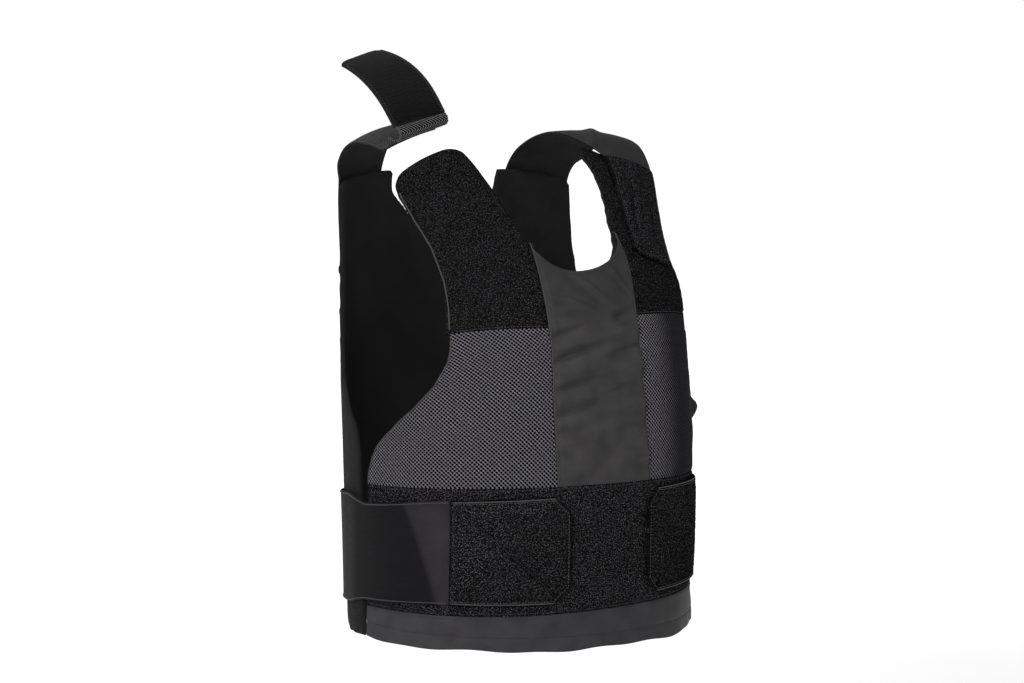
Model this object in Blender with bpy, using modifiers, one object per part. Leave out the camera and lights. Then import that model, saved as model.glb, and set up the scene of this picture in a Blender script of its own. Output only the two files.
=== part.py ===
"""Covert stab vest, worn shape, in metres with +Z up.

The wearer faces -Y and the wearer's right side is -X. Z is 0 close to the top of the shoulders.
Every piece is cut from a flat pattern and laid on one torso surface. A pattern point is given by
u, the distance round the body from the front midline, and t, the distance up the front midline
from the hem, over the shoulder and down the back.
"""

import bmesh
import bpy
import numpy as np

# Torso surface: the outer face of the two padded panels. Each row is one section, from the front
# hem over the shoulder to the back hem. y and z place the midline, half_width and depth are the
# section's half axes, and squareness is the exponent of its superellipse.
TORSO_ROWS = np.array([
    (-0.145, -0.472, 0.171, 0.143, 2.20),
    (-0.149, -0.400, 0.172, 0.147, 2.20),
    (-0.150, -0.328, 0.173, 0.148, 2.20),
    (-0.147, -0.256, 0.172, 0.145, 2.20),
    (-0.135, -0.184, 0.171, 0.138, 2.20),
    (-0.106, -0.112, 0.176, 0.125, 2.15),
    (-0.060, -0.050, 0.186, 0.110, 2.20),
    (0.000, -0.006, 0.194, 0.100, 2.35),
    (0.074, 0.013, 0.194, 0.100, 2.40),
    (0.124, -0.020, 0.190, 0.110, 2.30),
    (0.138, -0.092, 0.184, 0.125, 2.20),
    (0.139, -0.170, 0.178, 0.135, 2.20),
    (0.136, -0.248, 0.174, 0.134, 2.20),
    (0.132, -0.322, 0.173, 0.131, 2.20),
    (0.128, -0.397, 0.172, 0.128, 2.20),
    (0.126, -0.472, 0.171, 0.126, 2.20),
])

# Thicknesses, and the gap that keeps two layers apart.
PAD = 0.008
GAP = 0.0005
TWILL = 0.0011
MESH = 0.0016
LOOP = 0.0018
HEM = 0.0020
ELASTIC = 0.0015
TAB = 0.0026
SHOULDER_WEB = 0.0018
PAD_ROUND = 0.0020
SEAM_GAP = 0.0004
EDGE_INSET = 0.0016

# Front panel pattern.
SEAM_U = 0.053
SIDE_U = 0.250
HEM_TURN_T = 0.012
BAND_BOTTOM_T = 0.036
BAND_TOP_T = 0.154
PATCH_BOTTOM_T = 0.309
SCOOP_T = 0.356
SCOOP_RISE = 0.040
SEAM_TOP_T = 0.391
LOBE_TOP_T = 0.527
LOBE_SLANT = 0.026
LOBE_INNER_ROUND = 0.016
LOBE_OUTER_ROUND = 0.015
LOBE_DRIFT_LEFT = 0.014
WING_FLARE = 0.007
HEM_FLARE = 0.011
BAND_TILT = 0.030

# Inner and outer edges of the front panel above the seams, as (t, u).
LOBE_INNER = np.array([
    (0.391, 0.0530), (0.416, 0.0555), (0.440, 0.0590), (0.474, 0.0615), (0.527, 0.0620),
])
ARMHOLE = np.array([
    (0.000, SIDE_U), (0.150, SIDE_U), (0.182, 0.2485), (0.197, 0.2400), (0.210, 0.2280),
    (0.224, 0.2110), (0.235, 0.1950), (0.258, 0.1715), (0.282, 0.1565), (0.309, 0.1465),
    (0.340, 0.1420), (0.369, 0.1405), (0.407, 0.1425), (0.443, 0.1480), (0.474, 0.1495),
    (0.501, 0.1450),
])

# Back panel pattern, as (s, u) with s the distance up from the back hem.
BACK_SIDE_U = 0.238
BACK_TOP_S = 0.452
BACK_SCOOP_S = 0.398
BACK_SCOOP_RISE = 0.034
BACK_NECK_U = 0.060
BACK_INNER_ROUND = 0.010
BACK_OUTER_ROUND = 0.014
BACK_EDGE = np.array([
    (0.000, BACK_SIDE_U), (0.150, BACK_SIDE_U), (0.186, 0.2365), (0.205, 0.2270), (0.226, 0.2090),
    (0.250, 0.1900), (0.280, 0.1740), (0.320, 0.1610), (0.370, 0.1520), (0.420, 0.1480),
    (0.452, 0.1450),
])

# Waist fastening: two elastics from the back panel, each ending in a hook tab on the front.
STRAP_WIDTH = 0.100
STRAP_MIDDLE_T = 0.0955
STRAP_TILT = 0.020
STRAP_DROOP = 0.006
TAB_TIP_RIGHT_U = 0.041
TAB_TIP_LEFT_U = 0.053
TAB_LENGTH = 0.112
TAB_CLIP = 0.016
ELASTIC_BACK_U = 0.105
STRAP_LIFT = LOOP + 2 * GAP
STRAP_REST_BACK = 0.0009
STRAP_LEAVES_U = 0.262

# Shoulder straps from the back panel forwards. Each row is one cross line of the strap:
# t, u_inner, u_outer, lift_inner, lift_outer.
STRAP_RIGHT = np.array([
    (0.700, 0.074, 0.140, 0.0010, 0.0010),
    (0.668, 0.073, 0.139, 0.0012, 0.0012),
    (0.640, 0.072, 0.139, 0.0040, 0.0040),
    (0.610, 0.071, 0.138, 0.0080, 0.0060),
    (0.580, 0.069, 0.135, 0.0090, 0.0056),
    (0.546, 0.066, 0.130, 0.0088, 0.0046),
])
STRAP_LEFT = np.array([
    (0.700, 0.074, 0.140, 0.0010, 0.0010),
    (0.668, 0.076, 0.141, 0.0012, 0.0012),
    (0.640, 0.080, 0.144, 0.0030, 0.0050),
    (0.610, 0.086, 0.150, 0.0070, 0.0135),
    (0.575, 0.094, 0.158, 0.0085, 0.0175),
    (0.545, 0.102, 0.165, 0.0065, 0.0150),
    (0.511, 0.110, 0.170, 0.0040, 0.0075),
])
# The hook tab that the left strap ends in, lying on the front loop patch.
SHOULDER_TAB_LEFT = np.array([
    (0.5095, 0.1100, 0.1700, 0.0040, 0.0075),
    (0.485, 0.1020, 0.1630, 0.0034, 0.0048),
    (0.455, 0.0920, 0.1540, 0.0032, 0.0034),
    (0.420, 0.0830, 0.1440, 0.0030, 0.0030),
    (0.382, 0.0740, 0.1350, 0.0030, 0.0030),
])
SHOULDER_TAB_CLIP = 0.005
SHOULDER_TAB_SLANT = 0.015

# The raised hook tongue of the right strap. Each row is one control point of its two long edges:
# outer x, y, z and inner x, y, z, from the root to the tip.
TONGUE_CONTROLS = np.array([
    (-0.126, 0.019, 0.013, -0.059, 0.034, 0.028),
    (-0.119, 0.038, 0.017, -0.064, 0.039, 0.042),
    (-0.148, 0.015, 0.056, -0.080, 0.040, 0.079),
    (-0.164, 0.057, 0.073, -0.104, 0.082, 0.087),
])
TONGUE_THICKNESS = 0.0022
TONGUE_CORNER = 0.03

# The folded end of the right strap, below the tongue's root, is deeper at its outer end.
FOLD_HEIGHT_OUTER = 0.0131
FOLD_HEIGHT_INNER = 0.0106
FOLD_THICKNESS = 0.0018
FOLD_TAIL = 0.009
FOLD_TUCK = 0.0003
FOLD_SLOPE = 0.30

COLOURS = {
    "pad": (0.012, 0.012, 0.013),
    "twill": (0.030, 0.030, 0.033),
    "mesh": (0.045, 0.045, 0.048),
    "loop": (0.012, 0.012, 0.013),
    "elastic": (0.028, 0.027, 0.033),
    "hook": (0.018, 0.018, 0.019),
}
ROUGHNESS = {"pad": 0.85, "twill": 0.75, "mesh": 0.80, "loop": 0.95, "elastic": 0.70, "hook": 0.80}


def through(rows, place):
    """Catmull-Rom curve through the rows, read at row number place."""
    place = np.clip(np.asarray(place, float), 0, len(rows) - 1 - 1e-9)
    first = np.floor(place).astype(int)
    w = (place - first)[..., None]
    ends = np.vstack([2 * rows[0] - rows[1], rows, 2 * rows[-1] - rows[-2]])
    a, b, c, d = (ends[first + k] for k in range(4))
    bend = 2 * a - 5 * b + 4 * c - d
    twist = 3 * b - a - 3 * c + d
    return 0.5 * (2 * b + (c - a) * w + bend * w**2 + twist * w**3)


def smooth(low, high, x):
    """0 below low, 1 above high, with an S-curve between."""
    w = np.clip((np.asarray(x, float) - low) / (high - low), 0, 1)
    return w * w * (3 - 2 * w)


PLACES = np.linspace(0, len(TORSO_ROWS) - 1, 2801)
MIDLINE = through(TORSO_ROWS, PLACES)[:, :2]
STEPS = np.linalg.norm(np.diff(MIDLINE, axis=0), axis=1)
LENGTHS = np.concatenate([[0], np.cumsum(STEPS)])
TOTAL = LENGTHS[-1]
TURN = np.linspace(0, 0.75 * np.pi, 136)


def section(row, turn):
    """Sideways and inward distance of a section's point, for the angle turned from the midline."""
    width, depth, power = row[..., 2], row[..., 3], row[..., 4]
    side = np.abs(np.sin(turn)) / width
    front = np.abs(np.cos(turn)) / depth
    radius = (side**power + front**power) ** (-1 / power)
    return radius * np.sin(turn), depth - radius * np.cos(turn)


def girths(row):
    """Distance round the section from the midline, at each angle of TURN."""
    across, inwards = section(row[:, None, :], TURN[None, :])
    steps = np.hypot(np.diff(across, axis=1), np.diff(inwards, axis=1))
    return np.concatenate([np.zeros((len(row), 1)), np.cumsum(steps, axis=1)], axis=1)


def surface(u, t):
    """Points of the torso surface at pattern coordinates u and t."""
    place = np.interp(t, LENGTHS, PLACES)
    row = through(TORSO_ROWS, place)
    along = through(TORSO_ROWS, place + 1e-3) - through(TORSO_ROWS, place - 1e-3)
    along = along[:, :2] / np.linalg.norm(along[:, :2], axis=1, keepdims=True)
    turn = np.array([np.interp(abs(x), g, TURN) for x, g in zip(u, girths(row))])
    across, inwards = section(row, turn)
    y = row[:, 0] + inwards * along[:, 1]
    z = row[:, 1] - inwards * along[:, 0]
    return np.stack([np.sign(u) * across, y, z], axis=-1)


def quarter(t):
    """Distance round the section at t from its midline to the side of the body."""
    row = through(TORSO_ROWS, np.interp(np.ravel(t), LENGTHS, PLACES))
    return np.array([np.interp(np.pi / 2, TURN, g) for g in girths(row)]).reshape(np.shape(t))


def ring(u, t):
    """Points at u and t where u runs on round the side and across the back, at the same height."""
    front, back = quarter(t), quarter(TOTAL - t)
    beyond = np.abs(u) - front
    w = smooth(-0.010, 0.030, beyond)[:, None]
    on_front = surface(np.sign(u) * np.minimum(np.abs(u), front + 0.040), t)
    on_back = surface(np.sign(u) * np.minimum(back - beyond, back + 0.040), TOTAL - t)
    return (1 - w) * on_front + w * on_back


def laid(u, t, lift=0.0, path=surface):
    """Grid of points at (u, t), lifted off the torso surface along its normal."""
    u, t, lift = np.broadcast_arrays(np.asarray(u, float), np.asarray(t, float), lift)
    shape = u.shape
    u, t, lift = u.ravel(), t.ravel(), lift.ravel()
    step = 1e-4
    du = path(u + step, t) - path(u - step, t)
    dt = path(u, t + step) - path(u, t - step)
    normal = np.cross(du, dt)
    normal /= np.linalg.norm(normal, axis=1, keepdims=True)
    return (path(u, t) + lift[:, None] * normal).reshape(shape + (3,))


def material(name, kind):
    made = bpy.data.materials.new(name)
    made.use_nodes = True
    shader = made.node_tree.nodes["Principled BSDF"]
    shader.inputs["Base Color"].default_value = (*COLOURS[kind], 1)
    shader.inputs["Roughness"].default_value = ROUGHNESS[kind]
    return made


def piece(name, grids, thickness, kind, rounding=0.0):
    """Object from grids of points that share their borders. Cloth is thickened outwards from its
    grid, and a pad, which has a rounding, inwards."""
    mesh = bpy.data.meshes.new(name)
    form = bmesh.new()
    for grid in grids:
        rows, columns = grid.shape[:2]
        points = [[form.verts.new(p) for p in line] for line in grid]
        for i in range(rows - 1):
            for j in range(columns - 1):
                corners = (points[i][j], points[i][j + 1], points[i + 1][j + 1], points[i + 1][j])
                form.faces.new(corners)
    bmesh.ops.remove_doubles(form, verts=form.verts, dist=1e-6)
    form.to_mesh(mesh)
    form.free()
    mesh.shade_smooth()
    mesh.materials.append(material(name, kind))
    made = bpy.data.objects.new(name, mesh)
    vest.objects.link(made)
    wall = made.modifiers.new("wall", "SOLIDIFY")
    wall.thickness = thickness
    wall.offset = -1 if rounding else 1
    if rounding:
        edge = made.modifiers.new("rounded edge", "BEVEL")
        edge.width = rounding
        edge.segments = 2
        edge.limit_method = "ANGLE"
        edge.angle_limit = np.radians(55)
    return made


def stations(low, high, *wanted):
    """The wanted values that lie inside the range, with the range's two ends."""
    inside = [x for x in wanted if low + 0.003 < x < high - 0.003]
    return np.array(sorted([low, *inside, high]))


def edge_u(table, t):
    return np.interp(t, table[:, 0], table[:, 1])


def drift(side, t):
    """How far the left lobe is pulled outwards by its fastened strap."""
    return LOBE_DRIFT_LEFT * smooth(0.39, 0.51, t) if side > 0 else 0.0 * t


def front_lift(u, t):
    """The left wing of the front panel stands off the body beside the armhole."""
    return WING_FLARE * smooth(0.165, 0.235, u) * smooth(0.168, 0.208, t)


def rounded(rest, inner, outer):
    """Insets that round the end of a lobe, where rest is the length still to go."""
    near, far = np.clip(inner - rest, 0, inner), np.clip(outer - rest, 0, outer)
    return inner - np.sqrt(inner**2 - near**2), outer - np.sqrt(outer**2 - far**2)


def front_side_grid(side, rows, shares, inset=0.0, end_inset=0.0):
    """Half of the front panel from the centre seam to the armhole, up into the lobe."""
    rows = np.asarray(rows, float)
    top = LOBE_TOP_T - end_inset
    inner_t = np.minimum(rows, top)
    slope = LOBE_SLANT * smooth(0.40, LOBE_TOP_T, rows)
    outer_t = inner_t - slope
    inner = np.where(rows < SEAM_TOP_T, SEAM_U, edge_u(LOBE_INNER, inner_t))
    outer = edge_u(ARMHOLE, outer_t)
    inner = (inner + drift(side, inner_t) + inset)[:, None]
    outer = (outer + drift(side, outer_t) - inset)[:, None]
    near, far = rounded(top - inner_t, LOBE_INNER_ROUND, LOBE_OUTER_ROUND)
    shares = np.asarray(shares)[None, :]
    u = (inner + near[:, None]) * (1 - shares) + (outer - far[:, None]) * shares
    t = inner_t[:, None] - slope[:, None] * (u - inner) / (outer - inner)
    return (side * u, t) if side > 0 else (side * u[:, ::-1], t[:, ::-1])


def scoop_t(u, bottom, rise, half_width):
    """Height of the neckline over the centre, a quarter ellipse each way from the midline."""
    share = np.clip(np.abs(u) / half_width, 0, 1)
    return bottom + rise * (1 - np.sqrt(1 - share**2))


FRONT_ROWS = [0.040, 0.080, 0.118, 0.154, 0.182, 0.197, 0.210, 0.224, 0.235, 0.258, 0.282, 0.309]
YOKE_ROWS = [0.340, 0.367]
BACK_ROWS = [0.0, 0.040, 0.080, 0.118, 0.154, 0.186, 0.205, 0.226, 0.250, 0.280, 0.315, 0.345]
BACK_ROWS += [0.372, 0.398, 0.414]
LOBE_ROWS = [0.416, 0.443, 0.474, 0.498]
ROUND_ROWS = [LOBE_TOP_T - x for x in (0.0120, 0.0050, 0.0)]
SIDE_SHARES = np.linspace(0, 1, 9)
CENTRE_U = np.linspace(-SEAM_U, SEAM_U, 7)
SCOOP_HALF = 0.05345


def centre_grid(rows, columns, top_inset=0.0):
    """The block between the seams, its rows squeezed so that the last one is the neckline."""
    reach = scoop_t(columns, SCOOP_T, SCOOP_RISE, SCOOP_HALF) - top_inset
    share = (np.asarray(rows)[:, None] - rows[0]) / (rows[-1] - rows[0])
    t = rows[0] + share * (reach[None, :] - rows[0])
    return np.broadcast_to(columns[None, :], t.shape), t


def front_pieces():
    low = [HEM_TURN_T, *FRONT_ROWS, *YOKE_ROWS]
    seam_top = float(scoop_t(SEAM_U, SCOOP_T, SCOOP_RISE, SCOOP_HALF))
    grids = [centre_grid(low + [seam_top], CENTRE_U)]
    for side in (-1, 1):
        rows = low + [seam_top] + LOBE_ROWS + ROUND_ROWS
        grids.append(front_side_grid(side, rows, SIDE_SHARES))
    piece("front_carrier", [laid(u, t, front_lift(u, t)) for u, t in grids], PAD, "pad", PAD_ROUND)

    rows = [BAND_TOP_T + SEAM_GAP, *FRONT_ROWS[4:], *YOKE_ROWS, seam_top - 0.0006]
    columns = CENTRE_U * (SEAM_U - SEAM_GAP) / SEAM_U
    u, t = centre_grid(rows, columns, 0.0006)
    piece("front_center_panel", [laid(u, t, GAP)], TWILL, "twill")

    for side, word in ((-1, "right"), (1, "left")):
        rows = [BAND_TOP_T + SEAM_GAP, *FRONT_ROWS[4:-1], PATCH_BOTTOM_T - SEAM_GAP / 2]
        u, t = front_side_grid(side, rows, SIDE_SHARES, EDGE_INSET)
        piece(f"front_mesh_{word}", [laid(u, t, front_lift(u, t) + GAP)], MESH, "mesh")
        rows = [PATCH_BOTTOM_T + SEAM_GAP / 2, *YOKE_ROWS, seam_top, *LOBE_ROWS, *ROUND_ROWS]
        u, t = front_side_grid(side, rows, SIDE_SHARES, EDGE_INSET, EDGE_INSET)
        piece(f"front_shoulder_loop_{word}", [laid(u, t, GAP)], LOOP, "loop")

    edge = SIDE_U - 0.0010
    wing = np.linspace(SEAM_U, edge, 9)
    across = np.unique(np.concatenate([-wing, CENTRE_U, wing]))
    share = np.linspace(0, 1, 4)[:, None]
    bottom = BAND_BOTTOM_T + BAND_TILT * across[None, :]
    t = bottom + share * (BAND_TOP_T - bottom)
    u = np.broadcast_to(across[None, :], t.shape)
    piece("front_waist_loop", [laid(u, t, GAP)], LOOP, "loop")
    share = np.array([0.0, 0.35, 0.7, 1.0])[:, None]
    t = share * (bottom - 2 * SEAM_GAP)
    u = np.broadcast_to(across[None, :], t.shape)
    flare = HEM_FLARE * smooth(0.150, 0.245, u) * (1 - share) ** 1.5
    piece("front_hem", [laid(u, t, GAP + flare)], HEM, "twill")


def back_pieces():
    grids = []
    columns = np.linspace(-BACK_NECK_U, BACK_NECK_U, 7)
    reach = scoop_t(columns, BACK_SCOOP_S, BACK_SCOOP_RISE, BACK_NECK_U + 0.0004)
    low = np.array(BACK_ROWS + [float(reach[0])])
    s = low[:, None] / low[-1] * reach[None, :]
    grids.append((np.broadcast_to(columns[None, :], s.shape), s))
    high = np.concatenate([low, [0.438, BACK_TOP_S - 0.006, BACK_TOP_S - 0.002, BACK_TOP_S]])
    near, far = rounded(BACK_TOP_S - high, BACK_INNER_ROUND, BACK_OUTER_ROUND)
    for side in (-1, 1):
        inner = BACK_NECK_U + near
        outer = edge_u(BACK_EDGE, high) - far
        shares = SIDE_SHARES[None, :]
        u = side * (inner[:, None] * (1 - shares) + outer[:, None] * shares)
        s = np.broadcast_to(high[:, None], u.shape)
        grids.append((u, s) if side > 0 else (u[:, ::-1], s[:, ::-1]))
    turned = [(u[::-1], TOTAL - s[::-1]) for u, s in grids]
    piece("back_carrier", [laid(u, t) for u, t in turned], PAD, "pad", PAD_ROUND)


def strap_middle(u):
    """The waist strap's middle line tilts with the band and droops towards the side of the body."""
    tilt = STRAP_TILT * np.clip(u, -SIDE_U, SIDE_U)
    return STRAP_MIDDLE_T + tilt - STRAP_DROOP * smooth(0.150, 0.260, np.abs(u))


def clipped(distance, half, clip):
    """Half width of a strip that much before its tip, where both corners are clipped."""
    return half - np.clip(clip - distance, 0, clip)


def waist_straps():
    half = STRAP_WIDTH / 2
    back_u = np.linspace(BACK_SIDE_U, BACK_NECK_U, 9)
    grid_u = np.concatenate([CENTRE_U, np.linspace(SEAM_U, SIDE_U - 0.0010, 9)])
    for side, word, tip in ((-1, "right", TAB_TIP_RIGHT_U), (1, "left", TAB_TIP_LEFT_U)):
        rear = tip + TAB_LENGTH
        across = stations(tip, rear, tip + TAB_CLIP, *grid_u)
        reach = clipped(across - tip, half, TAB_CLIP)
        share = np.linspace(-1, 1, 4)[:, None]
        t = strap_middle(side * across)[None, :] + share * reach[None, :]
        u = side * np.broadcast_to(across[None, :], t.shape)
        grid = laid(u, t, STRAP_LIFT)
        piece(f"waist_tab_{word}", [grid if side > 0 else grid[:, ::-1]], TAB, "loop")

        front = rear + SEAM_GAP
        girth = float(quarter(STRAP_MIDDLE_T) + quarter(TOTAL - STRAP_MIDDLE_T))
        rear = girth - ELASTIC_BACK_U
        bridge = (STRAP_LEAVES_U + 0.001, girth - BACK_SIDE_U - 0.006)
        across = stations(front, rear, *grid_u, *bridge, *(girth - back_u))
        t = strap_middle(side * across)[None, :] + share * half
        u = side * np.broadcast_to(across[None, :], t.shape)
        rest = smooth(STRAP_LEAVES_U, STRAP_LEAVES_U + 0.028, np.abs(u))
        lift = STRAP_LIFT + (STRAP_REST_BACK - STRAP_LIFT) * rest
        grid = laid(u, t, lift, ring)
        piece(f"elastic_strap_{word}", [grid if side > 0 else grid[:, ::-1]], ELASTIC, "elastic")


def strip_grid(side, table, lines, columns=5):
    """Grid of a shoulder strip read along its table, from its first row to its last."""
    rows = through(table, np.linspace(0, len(table) - 1, lines))
    share = np.linspace(0, 1, columns)[None, :]
    u = side * (rows[:, 1:2] * (1 - share) + rows[:, 2:3] * share)
    lift = rows[:, 3:4] * (1 - share) + rows[:, 4:5] * share
    t = np.broadcast_to(rows[:, 0:1], u.shape)
    return u[::-1], t[::-1], lift[::-1]


def shoulder_straps():
    for side, word, table in ((-1, "right", STRAP_RIGHT), (1, "left", STRAP_LEFT)):
        u, t, lift = strip_grid(side, table, 13)
        grid = laid(u, t, lift)
        piece(f"shoulder_strap_{word}", [grid if side > 0 else grid[:, ::-1]], SHOULDER_WEB, "twill")
    u, t, lift = strip_grid(1, SHOULDER_TAB_LEFT, 9)
    corner = np.array([1.0, 0.10, 0.0, 0.04, 0.40])[None, :]
    slant = np.linspace(0.5, -0.5, 5)[None, :]
    t = t + SHOULDER_TAB_CLIP * corner * np.exp(-(((t - t.min()) / 0.006) ** 2))
    t = t + SHOULDER_TAB_SLANT * slant * (1 - smooth(0.382, 0.420, t))
    piece("shoulder_tab_left", [laid(u, t, lift)], TAB, "loop")


def tongue_point(a, b):
    """Point of the tongue, a from 0 at its root to 1 at its tip, b from 0 outer to 1 inner."""
    a, b = a[..., None], b[..., None]
    weights = ((1 - a) ** 3, 3 * a * (1 - a) ** 2, 3 * a**2 * (1 - a), a**3)
    edges = sum(w * row for w, row in zip(weights, TONGUE_CONTROLS))
    return edges[..., :3] * (1 - b) + edges[..., 3:] * b


def tongue():
    b = np.array([0.0, 0.06, 0.34, 0.66, 0.94, 1.0])[None, :]
    tip = 1 - TONGUE_CORNER * np.array([1.0, 0.2, 0.0, 0.0, 0.2, 1.0])[None, :]
    a = np.linspace(0.0, 1.0, 12)[:, None] * tip
    grid = tongue_point(a, np.broadcast_to(b, a.shape))
    piece("shoulder_tongue_right", [grid], TONGUE_THICKNESS, "hook")


def fold():
    """The strap's end turns forwards and down from the tongue's root, then back over the strap."""
    outer, inner = TONGUE_CONTROLS[0, :3], TONGUE_CONTROLS[0, 3:]
    across = (inner - outer) / np.linalg.norm(inner - outer)
    level = np.cross(across, (0, 0, 1))
    level /= np.linalg.norm(level)
    up = np.cross(level, across)
    up *= np.sign(up[2])
    forward = level * np.cos(FOLD_SLOPE) - up * np.sin(FOLD_SLOPE)
    below = -level * np.sin(FOLD_SLOPE) - up * np.cos(FOLD_SLOPE)
    share = np.linspace(0, 1, 5)[None, :]
    height = FOLD_HEIGHT_OUTER * (1 - share) + FOLD_HEIGHT_INNER * share
    radius = height / 2 - FOLD_THICKNESS
    angle = np.radians(np.linspace(78, -90, 9))[:, None]
    ahead = np.vstack([radius * np.cos(angle), 0 * share - FOLD_TAIL / 2, 0 * share - FOLD_TAIL])
    down = np.vstack([radius * (1 - np.sin(angle)), 2 * radius, 2 * radius])
    down = down + FOLD_THICKNESS - FOLD_TUCK
    root = outer + share[0][None, :, None] * (inner - outer)
    grid = root + ahead[..., None] * forward + down[..., None] * below
    piece("tongue_fold_right", [grid[::-1]], FOLD_THICKNESS, "hook")


for old in list(bpy.data.objects):
    bpy.data.objects.remove(old)
vest = bpy.data.collections.new("stab_vest")
bpy.context.scene.collection.children.link(vest)

front_pieces()
back_pieces()
waist_straps()
shoulder_straps()
tongue()
fold()
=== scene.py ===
"""Looks of a covert stab vest as it sits on a body, in metres with +Z up.

The wearer faces -Y and the wearer's right side is -X. Cloth pieces are cut from a flat pattern:
u is the distance round the body from the front midline, and t the distance up the front midline
from the hem, over the shoulder and down the back.
"""

import bmesh
import bpy
import numpy as np
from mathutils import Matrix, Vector
from mathutils.bvhtree import BVHTree


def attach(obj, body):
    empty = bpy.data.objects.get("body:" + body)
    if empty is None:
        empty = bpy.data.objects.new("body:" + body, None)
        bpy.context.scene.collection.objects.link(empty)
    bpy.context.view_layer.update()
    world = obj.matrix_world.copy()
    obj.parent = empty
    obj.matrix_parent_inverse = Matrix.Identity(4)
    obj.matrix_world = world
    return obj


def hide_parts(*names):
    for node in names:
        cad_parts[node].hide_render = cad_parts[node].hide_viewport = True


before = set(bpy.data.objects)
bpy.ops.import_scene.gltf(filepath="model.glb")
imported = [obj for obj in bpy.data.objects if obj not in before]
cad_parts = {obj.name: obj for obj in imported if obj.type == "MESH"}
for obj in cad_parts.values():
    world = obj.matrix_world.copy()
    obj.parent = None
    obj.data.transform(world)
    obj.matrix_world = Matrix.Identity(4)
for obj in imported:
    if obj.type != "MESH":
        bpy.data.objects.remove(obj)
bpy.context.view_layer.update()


# Camera. It looks at the vest's right front, level with the shoulders and slightly down, through a long lens
# fitted to the view.
camera_data = bpy.data.cameras.new("camera")
camera_data.lens = 121.1
camera_data.sensor_width = 36.0
camera_data.clip_start = 0.1
camera = bpy.data.objects.new("camera", camera_data)
camera.location = (-1.903, -2.729, 0.038)
camera.rotation_euler = np.radians((90 - 3.98, 0, -34.85))
bpy.context.collection.objects.link(camera)
bpy.context.scene.camera = camera
bpy.context.scene.view_settings.view_transform = "Standard"


# Floor and light. A plain pale floor lies well below the hem, and large soft lamps stand left,
# right, above and behind in a white room.
FLOOR_Z = -0.85
FLOOR_HALF = 60.0

floor_mesh = bpy.data.meshes.new("floor")
floor_corners = [(x * FLOOR_HALF, y * FLOOR_HALF, FLOOR_Z) for x, y in ((-1, -1), (1, -1), (1, 1), (-1, 1))]
floor_mesh.from_pydata(floor_corners, [], [(0, 1, 2, 3)])
floor = bpy.data.objects.new("floor", floor_mesh)
bpy.context.collection.objects.link(floor)
floor_material = bpy.data.materials.new("floor")
floor_material.use_nodes = True
floor_nodes = floor_material.node_tree
floor_shader = floor_nodes.nodes["Principled BSDF"]
floor_shader.inputs["Base Color"].default_value = (0.97, 0.97, 0.97, 1)
floor_shader.inputs["Roughness"].default_value = 1.0
floor_shader.inputs["Specular IOR Level"].default_value = 0.0
# Beyond the vest's surroundings the floor glows, as a lit studio sweep does: the radii in metres
# where the glow begins and is complete, and its strength.
GLOW = (1.8, 4.5, 0.62)
floor_place = floor_nodes.nodes.new("ShaderNodeTexCoord").outputs["Object"]
radius = floor_nodes.nodes.new("ShaderNodeVectorMath")
radius.operation = "LENGTH"
floor_nodes.links.new(floor_place, radius.inputs[0])
glow = floor_nodes.nodes.new("ShaderNodeMapRange")
glow.interpolation_type = "SMOOTHSTEP"
floor_nodes.links.new(radius.outputs["Value"], glow.inputs[0])
for k, number in enumerate((GLOW[0], GLOW[1], 0.0, GLOW[2])):
    glow.inputs[k + 1].default_value = number
floor_shader.inputs["Emission Color"].default_value = (1, 1, 1, 1)
floor_nodes.links.new(glow.outputs[0], floor_shader.inputs["Emission Strength"])
floor_mesh.materials.append(floor_material)

# The room's walls are seen white, and give a dimmer light than they show.
ROOM_LIGHT = 0.55
world = bpy.data.worlds.new("room")
world.use_nodes = True
room = world.node_tree
room.nodes["Background"].inputs["Color"].default_value = (1.0, 1.0, 1.0, 1)
seen = room.nodes.new("ShaderNodeLightPath").outputs["Is Camera Ray"]
wall = room.nodes.new("ShaderNodeMapRange")
room.links.new(seen, wall.inputs[0])
wall.inputs[3].default_value = ROOM_LIGHT
wall.inputs[4].default_value = 1.0
room.links.new(wall.outputs[0], room.nodes["Background"].inputs["Strength"])
bpy.context.scene.world = world

# Each lamp: name, place, side length and power in watts, all aimed at the chest.
LAMPS = (
    ("key_left", (-2.5, -1.7, 0.9), 0.8, 95.0),
    ("top_front", (-0.9, -0.8, 2.4), 0.6, 52.0),
    ("fill_right", (1.5, -3.0, 0.5), 1.2, 22.0),
    ("rim_back", (-0.6, 2.3, 1.6), 1.4, 40.0),
)
CHEST = np.array((0.0, -0.05, -0.25))
for lamp_name, place, side_length, power in LAMPS:
    lamp_data = bpy.data.lights.new(lamp_name, "AREA")
    lamp_data.size = side_length
    lamp_data.energy = power
    lamp = bpy.data.objects.new(lamp_name, lamp_data)
    lamp.location = place
    from_chest = lamp.location - Vector(CHEST)
    lamp.rotation_euler = from_chest.to_track_quat("Z", "Y").to_euler()
    bpy.context.collection.objects.link(lamp)


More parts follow.
